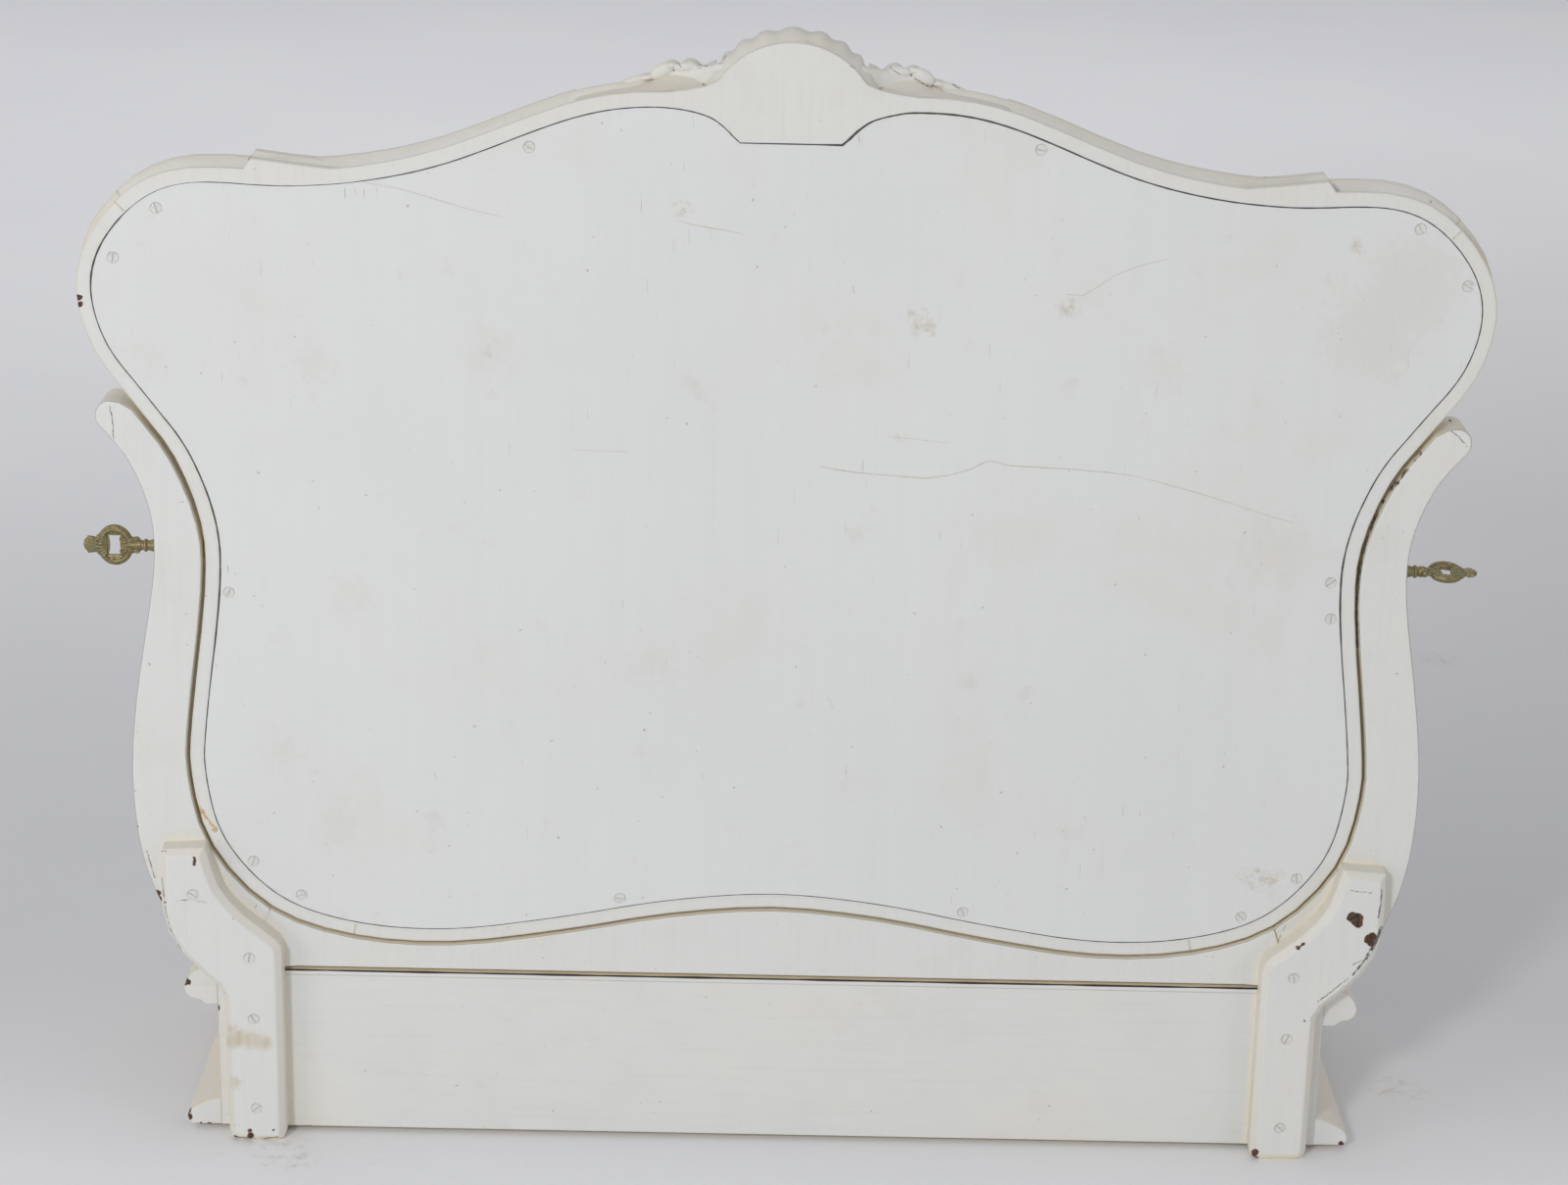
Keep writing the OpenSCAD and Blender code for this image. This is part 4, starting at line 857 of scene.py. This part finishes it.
def drawer_trim(side):
    node = nodes[side + "_drawer_front"]
    lo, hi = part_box(side + "_drawer_front")
    low_x, high_x = lo.x + BEAD_INSET, hi.x - BEAD_INSET
    low_z, high_z = lo.z + BEAD_INSET, hi.z - BEAD_INSET
    corners = ((low_x, low_z), (high_x, low_z), (high_x, high_z), (low_x, high_z))
    path = []
    for k in range(4):
        a, b = corners[k], corners[(k + 1) % 4]
        count = 24 if k % 2 == 0 else 6
        for i in range(count):
            path.append(on_front(node, a[0] + (b[0] - a[0]) * i / count,
                                 a[1] + (b[1] - a[1]) * i / count))
    bm = bmesh.new()
    tube(bm, path, BEAD_RADIUS, 10, True)
    bmesh.ops.recalc_face_normals(bm, faces=bm.faces)
    add_piece(side + "_drawer_bead", bm, cream, side + "_drawer")
    low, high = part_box(side + "_drawer_knob")
    x, z = (low.x + high.x) / 2, (low.z + high.z) / 2
    slope = on_front(node, x + 0.006, z) - on_front(node, x - 0.006, z)
    place = (Matrix.Translation(on_front(node, x, z))
             @ Matrix.Rotation(math.atan2(slope.y, slope.x), 4, "Z")
             @ Matrix.Rotation(math.radians(90), 4, "X"))
    bm = bmesh.new()
    lathe(bm, place, [(0.0160, -0.0005), (0.0160, 0.0004), (0.0154, 0.0010), (0.0146, 0.0009),
                      (0.0136, 0.0012), (0.0124, 0.0010), (0.0100, 0.0014), (0.0050, 0.0018),
                      (0.0030, 0.0018)], 48)
    for k in range(PEARLS):
        x, y = round_at(k, PEARLS)
        ball(bm, place, Vector((PEARL_ROUND * x, PEARL_ROUND * y, 0.0010)), (0.0011, 0.0011, 0.0008))
    add_piece(side + "_knob_plate", bm, by_slot["brass"], side + "_drawer")


for side in ("left", "middle", "right"):
    drawer_trim(side)


def dark_line(name, colour):
    m = Mat(name)
    n = m.noise(m.coords(), 900.0, 3.0)
    m.set("Base Color", m.mix(m.step(n, 0.3, 0.7), colour, tuple(c * 1.4 for c in colour)))
    m.set("Roughness", 0.7)
    return m.mat


# A film lying on the back: its faces look back and have a thickness
FILM = 0.00005


def add_film(name, bm, mat, body):
    bm.normal_update()
    bmesh.ops.reverse_faces(bm, faces=[f for f in bm.faces if f.normal.y < 0])
    o = add_piece(name, bm, mat, body, False)
    mod = o.modifiers.new("film", "SOLIDIFY")
    mod.thickness = FILM
    mod.offset = -1.0


# Hairline cracks and small dark marks: half width in metres, pixels along the line
cracks = [
    (0.00030, [(838, 476), (852, 479), (872, 482), (895, 484), (920, 486), (944, 488),
               (968, 485), (990, 479), (1004, 472), (1010, 470), (1030, 475), (1062, 477),
               (1095, 479), (1130, 482), (1160, 486)]),
    (0.00020, [(1160, 486), (1190, 494), (1222, 503), (1258, 514), (1290, 525), (1322, 534)]),
    (0.00025, [(690, 224), (705, 229), (722, 232), (745, 236), (759, 239)]),
    (0.00020, [(1088, 300), (1104, 302), (1120, 293), (1136, 282), (1160, 272), (1192, 264)]),
    (0.00020, [(372, 186), (410, 193), (450, 205), (480, 214), (512, 221)]),
    (0.00030, [(352, 191), (352, 203)]),
    (0.00018, [(362, 192), (363, 201)]),
    (0.00018, [(371, 192), (372, 203)]),
    (0.00018, [(384, 190), (385, 197)]),
    (0.00018, [(880, 136), (880, 150)]),
    (0.00022, [(660, 285), (661, 300)]),
    (0.00018, [(707, 118), (708, 131)]),
    (0.00018, [(745, 128), (746, 140)]),
    (0.00018, [(584, 459), (640, 461)]),
    (0.00018, [(905, 445), (968, 452)]),
    (0.00030, [(443, 788), (446, 795)]),
    (0.00024, [(717, 788), (717, 796)]),
    (0.00020, [(846, 712), (851, 724)]),
]


dark_marks = [
    (0.00022, [(876, 138), (877, 146)]),
    (0.00020, [(352, 193), (352, 201)]),
    (0.00016, [(371, 193), (372, 202)]),
    (0.00022, [(232, 577), (233, 583)]),
    (0.00016, [(870, 292), (872, 300)]),
]

# Joints of the harp, painted over and cracked again beside them
harp_joints = [
    (0.0013, [(277, 928), (275, 934), (271.5, 943)]),
    (0.0013, [(1303, 947.5), (1305, 954), (1309, 963)]),
]
harp_cracks = [
    (0.00035, [(262, 923), (260, 927)]),
    (0.00035, [(258, 930), (255, 935)]),
    (0.00030, [(1312, 943), (1309, 950)]),
    (0.00030, [(1307, 954), (1304, 960)]),
]


# Faces between pairs of points along a strip
def ribbon(bm, pairs):
    for a, b in zip(pairs, pairs[1:]):
        bm.faces.new((a[0], a[1], b[1], b[0]))


def strips(name, lines, mat, body, above):
    bm = bmesh.new()
    for half, line in lines:
        pts = [seen(x, y, BACK + above) for x, y in line]
        pairs = []
        for k, p in enumerate(pts):
            a = pts[max(k - 1, 0)]
            b = pts[min(k + 1, len(pts) - 1)]
            t = (b - a).normalized()
            side = Vector((t.z, 0.0, -t.x))
            w = half * (0.55 if k in (0, len(pts) - 1) else 0.8 + 0.4 * ((k * 7) % 3) / 2)
            pairs.append((bm.verts.new(p + side * w), bm.verts.new(p - side * w)))
        ribbon(bm, pairs)
    add_film(name, bm, mat, body)


dent = dark_line("dark_marks", (0.16, 0.14, 0.12))
strips("panel_cracks", cracks, dark_line("crack_line", (0.46, 0.425, 0.36)), "mirror", 0.00008)
strips("panel_marks", dark_marks, dent, "mirror", 0.00010)


# Cosine of the turn from which the panel's outline has a corner
CORNER = 0.94


# Outer outline of the back panel's flat face, in order
def panel_outline():
    bm = bmesh.new()
    bm.from_mesh(nodes["mirror_back_panel"].data)
    bmesh.ops.remove_doubles(bm, verts=bm.verts, dist=SAME_POINT)
    after = {}
    for f in bm.faces:
        if f.normal.y > 0.99 and abs(f.calc_center_median().y - BACK) < 1e-4:
            for loop in f.loops:
                other = [g for g in loop.edge.link_faces if g is not f]
                if other and other[0].normal.y < 0.9:
                    after[loop.vert] = loop.link_loop_next.vert
    first = max(after, key=lambda v: (v.co.x, v.co.z))
    ring = [first.co.copy()]
    v = after[first]
    while v is not first:
        ring.append(v.co.copy())
        v = after[v]
    bm.free()
    return [p for k, p in enumerate(ring) if (p - ring[k - 1]).length > 0.001]


# The outline rounded by cubic curves, but for its corners
def rounded(points):
    ring = []
    n = len(points)
    for k, p in enumerate(points):
        q = points[(k + 1) % n]
        before = (p - points[k - 1]).normalized()
        behind = (points[(k + 2) % n] - q).normalized()
        own = (q - p).normalized()
        start = own if before.dot(own) < CORNER else (before + own).normalized()
        end = own if behind.dot(own) < CORNER else (own + behind).normalized()
        span = (q - p).length
        for s in range(4):
            t = s / 4
            ring.append(p * (2 * t ** 3 - 3 * t * t + 1) + start * (span * (t ** 3 - 2 * t * t + t))
                        + q * (3 * t * t - 2 * t ** 3) + end * (span * (t ** 3 - t * t)))
    return ring


# Half width of the panel's joint where its share is 1, half width of the paint that
# fills it, and how far its middle lies outside the panel
JOINT = 0.00075
JOINT_PAINT = 0.0014
JOINT_OFFSET = 0.0005

# Shares of the joint's width at pixels of the photograph
joint_widths = [(232, 520, 0.9), (229, 620, 0.95), (228, 720, 0.6), (262, 850, 0.55),
                (330, 925, 0.5), (500, 950, 0.40), (760, 915, 0.40), (1000, 935, 0.45),
                (1180, 960, 0.5), (1310, 930, 0.5), (1375, 800, 0.6), (1362, 700, 0.6),
                (1357, 610, 1.0), (1370, 520, 0.75), (1430, 430, 0.6), (1500, 330, 0.6),
                (1500, 270, 0.55), (1440, 215, 0.55), (1350, 200, 0.7), (1200, 185, 0.75),
                (1080, 150, 0.8), (960, 117, 0.95), (900, 118, 0.75), (868, 140, 1.25),
                (860, 147, 1.1), (820, 147, 0.6), (750, 145, 0.55), (715, 120, 0.6),
                (660, 110, 0.55), (560, 140, 0.6), (430, 185, 0.6), (330, 190, 0.35),
                (230, 187, 0.45), (180, 190, 0.25), (140, 205, 0.30), (112, 230, 0.75),
                (98, 270, 0.95), (97, 330, 0.55), (140, 400, 0.55), (190, 450, 0.75)]


# The joint round the back panel, open more in some places than in others: a film of paint over it, and
# a dark film on top that is painted shade inside the open joint
def open_joint_shade():
    ring = rounded(panel_outline())
    n = len(ring)
    turn = sum(ring[k - 1].x * p.z - p.x * ring[k - 1].z for k, p in enumerate(ring))
    out = 1.0 if turn > 0 else -1.0
    widths = [(seen(x, y, BACK), JOINT * w) for x, y, w in joint_widths]
    sheets = (bmesh.new(), bmesh.new())
    pairs = ([], [])
    for k, p in enumerate(ring):
        a = (p - ring[k - 1]).normalized()
        b = (ring[(k + 1) % n] - p).normalized()
        side = Vector(((a + b).z, 0.0, -(a + b).x)).normalized() * out
        side = side / max(0.6, side.dot(Vector((b.z, 0.0, -b.x)) * out))
        shares = [1.0 / ((p - q).length_squared ** 1.5 + 1e-7) for q, w in widths]
        half = sum(share * w for share, (q, w) in zip(shares, widths)) / sum(shares)
        half *= 0.85 + 0.3 * ((k * 5) % 7) / 7
        for i, reach, above in ((0, JOINT_PAINT, 0.00006), (1, half, 0.00011)):
            mid = p + side * JOINT_OFFSET
            mid.y = BACK + above
            pairs[i].append((sheets[i].verts.new(mid + side * reach),
                             sheets[i].verts.new(mid - side * reach)))
    for sheet, row in zip(sheets, pairs):
        ribbon(sheet, row + row[:1])
    add_film("panel_joint_paint", sheets[0], by_slot["panel_paint"], "mirror")
    dark = dark_line("open_joint_shade", (0.055, 0.055, 0.046))
    add_film("panel_joint", sheets[1], dark, "mirror")


open_joint_shade()
strips("harp_joint_paint", harp_joints, cream, "stand", 0.00008)
strips("harp_joint_cracks", harp_cracks, dent, "stand", 0.00012)


# Dark joint between the harp's lower rail and the case: a near-black film painted as the shadow in the
# joint
def rail_joint_shadow():
    top_of_case = 0.1339
    reach = 0.37
    bm = bmesh.new()
    pairs = []
    for k in range(41):
        x = -reach + 2 * reach * k / 40
        half = 0.00075 + 0.00025 * math.sin(k * 1.7) * math.sin(k * 0.61)
        pairs.append((bm.verts.new((x, BACK + 0.0001, top_of_case + half)),
                      bm.verts.new((x, BACK + 0.0001, top_of_case - half))))
    ribbon(bm, pairs)
    dark = dark_line("painted_joint_shadow", (0.02, 0.02, 0.018))
    add_film("rail_joint_shadow", bm, dark, "stand")


rail_joint_shadow()


# Scuffs of the floor: pixel and radius in metres
floor_scuffs = [(292, 1178, 0.02), (740, 1137, 0.01), (1468, 674, 0.02), (1425, 1110, 0.02)]


# Floor, flat as far as the camera sees
def floor_sheet():
    bm = bmesh.new()
    edge = [(-30, -40), (30, -40), (30, 30), (-30, 30)]
    bm.faces.new([bm.verts.new((x, y, 0.0)) for x, y in edge])
    me = bpy.data.meshes.new("studio_floor")
    bm.to_mesh(me)
    bm.free()
    o = bpy.data.objects.new("studio_floor", me)
    scene.collection.objects.link(o)
    m = Mat("pale_floor")
    cloud = m.noise(m.coords(), 1.2, 4.0, 0.6)
    fine = m.noise(m.coords(), 40.0, 5.0, 0.7)
    colour = m.mix(m.step(cloud, 0.35, 0.7), (0.880, 0.880, 0.898), (0.905, 0.905, 0.920))
    # painted light and shade along the floor away from the camera, darkest just under and behind the
    # object, and a painted shadow off to one side
    spot = m.node("ShaderNodeSeparateXYZ", Vector=m.place())
    reach = m.math("MULTIPLY_ADD", spot.outputs["Y"], -0.2, 0.1, clamp=True)
    painted_floor_light = m.ramp(reach, (0.0, 0.96), (0.062, 1.0), (0.09, 0.88), (0.128, 0.80), (0.19, 0.793),
                  (0.266, 0.823), (0.4, 0.904), (0.6, 0.945), (1.0, 0.94))
    colour = m.mix(1.0, colour, painted_floor_light, "MULTIPLY")
    painted_side_shadow = m.times(m.step(spot.outputs["X"], -0.4, -1.1), m.step(reach, 0.95, 0.5))
    colour = m.mix(m.times(painted_side_shadow, m.step(reach, 0.2, 0.45)), colour,
                   m.mix(1.0, colour, (0.86, 0.855, 0.85), "MULTIPLY"))
    colour = m.tint(colour, m.step(fine, 0.62, 0.8), 0.25, (0.56, 0.55, 0.55))
    worn = m.step(m.noise(m.coords(), 90.0, 5.0, 0.7), 0.45, 0.7)
    scuffed = m.times(m.spots(on_floor(floor_scuffs), 0.05, 0.014), worn)
    colour = m.tint(colour, scuffed, 0.6, (0.52, 0.44, 0.35))
    m.set("Base Color", colour)
    m.set("Roughness", 0.6)
    m.set("Specular IOR Level", 0.3)
    o.data.materials.append(m.mat)


floor_sheet()

# Soft light from all sides; the camera and reflections see a plain grey instead
world = bpy.data.worlds.new("studio")
world.use_nodes = True
tree = world.node_tree
lit = tree.nodes["Background"]
lit.inputs["Color"].default_value = (0.96, 0.97, 1.0, 1.0)
lit.inputs["Strength"].default_value = 0.42
shown = tree.nodes.new("ShaderNodeBackground")
shown.inputs["Color"].default_value = (0.57, 0.565, 0.60, 1.0)
path = tree.nodes.new("ShaderNodeLightPath")
either = tree.nodes.new("ShaderNodeMath")
either.operation = "MAXIMUM"
both = tree.nodes.new("ShaderNodeMixShader")
tree.links.new(path.outputs["Is Camera Ray"], either.inputs[0])
tree.links.new(path.outputs["Is Glossy Ray"], either.inputs[1])
tree.links.new(either.outputs[0], both.inputs[0])
tree.links.new(lit.outputs[0], both.inputs[1])
tree.links.new(shown.outputs[0], both.inputs[2])
tree.links.new(both.outputs[0], tree.nodes["World Output"].inputs["Surface"])
scene.world = world


# A soft lamp, aimed at a target
def area(name, place, target, size, watts, colour=(1, 1, 1), spread=180.0):
    d = bpy.data.lights.new(name, "AREA")
    d.shape = "RECTANGLE"
    d.size, d.size_y = size
    d.energy = watts
    d.color = colour
    d.spread = math.radians(spread)
    o = bpy.data.objects.new(name, d)
    o.location = place
    o.rotation_euler = (Vector(target) - Vector(place)).to_track_quat("-Z", "Y").to_euler()
    scene.collection.objects.link(o)


area("key_lamp", (1.3, 3.4, 2.15), (0, 0, 0.35), (0.45, 0.45), 46.0)
area("left_softbox", (3.2, 2.4, 1.2), (0, 0, 0.3), (1.3, 1.7), 20.0)
area("right_softbox", (-3.2, 2.4, 1.2), (0, 0, 0.3), (1.3, 1.7), 13.0, (1.0, 0.985, 0.965))
area("floor_softbox", (0.3, -3.7, 3.2), (0.3, -3.7, 0.0), (7.0, 4.4), 44.0, (1, 1, 1), 130.0)

scene.view_settings.view_transform = "Standard"
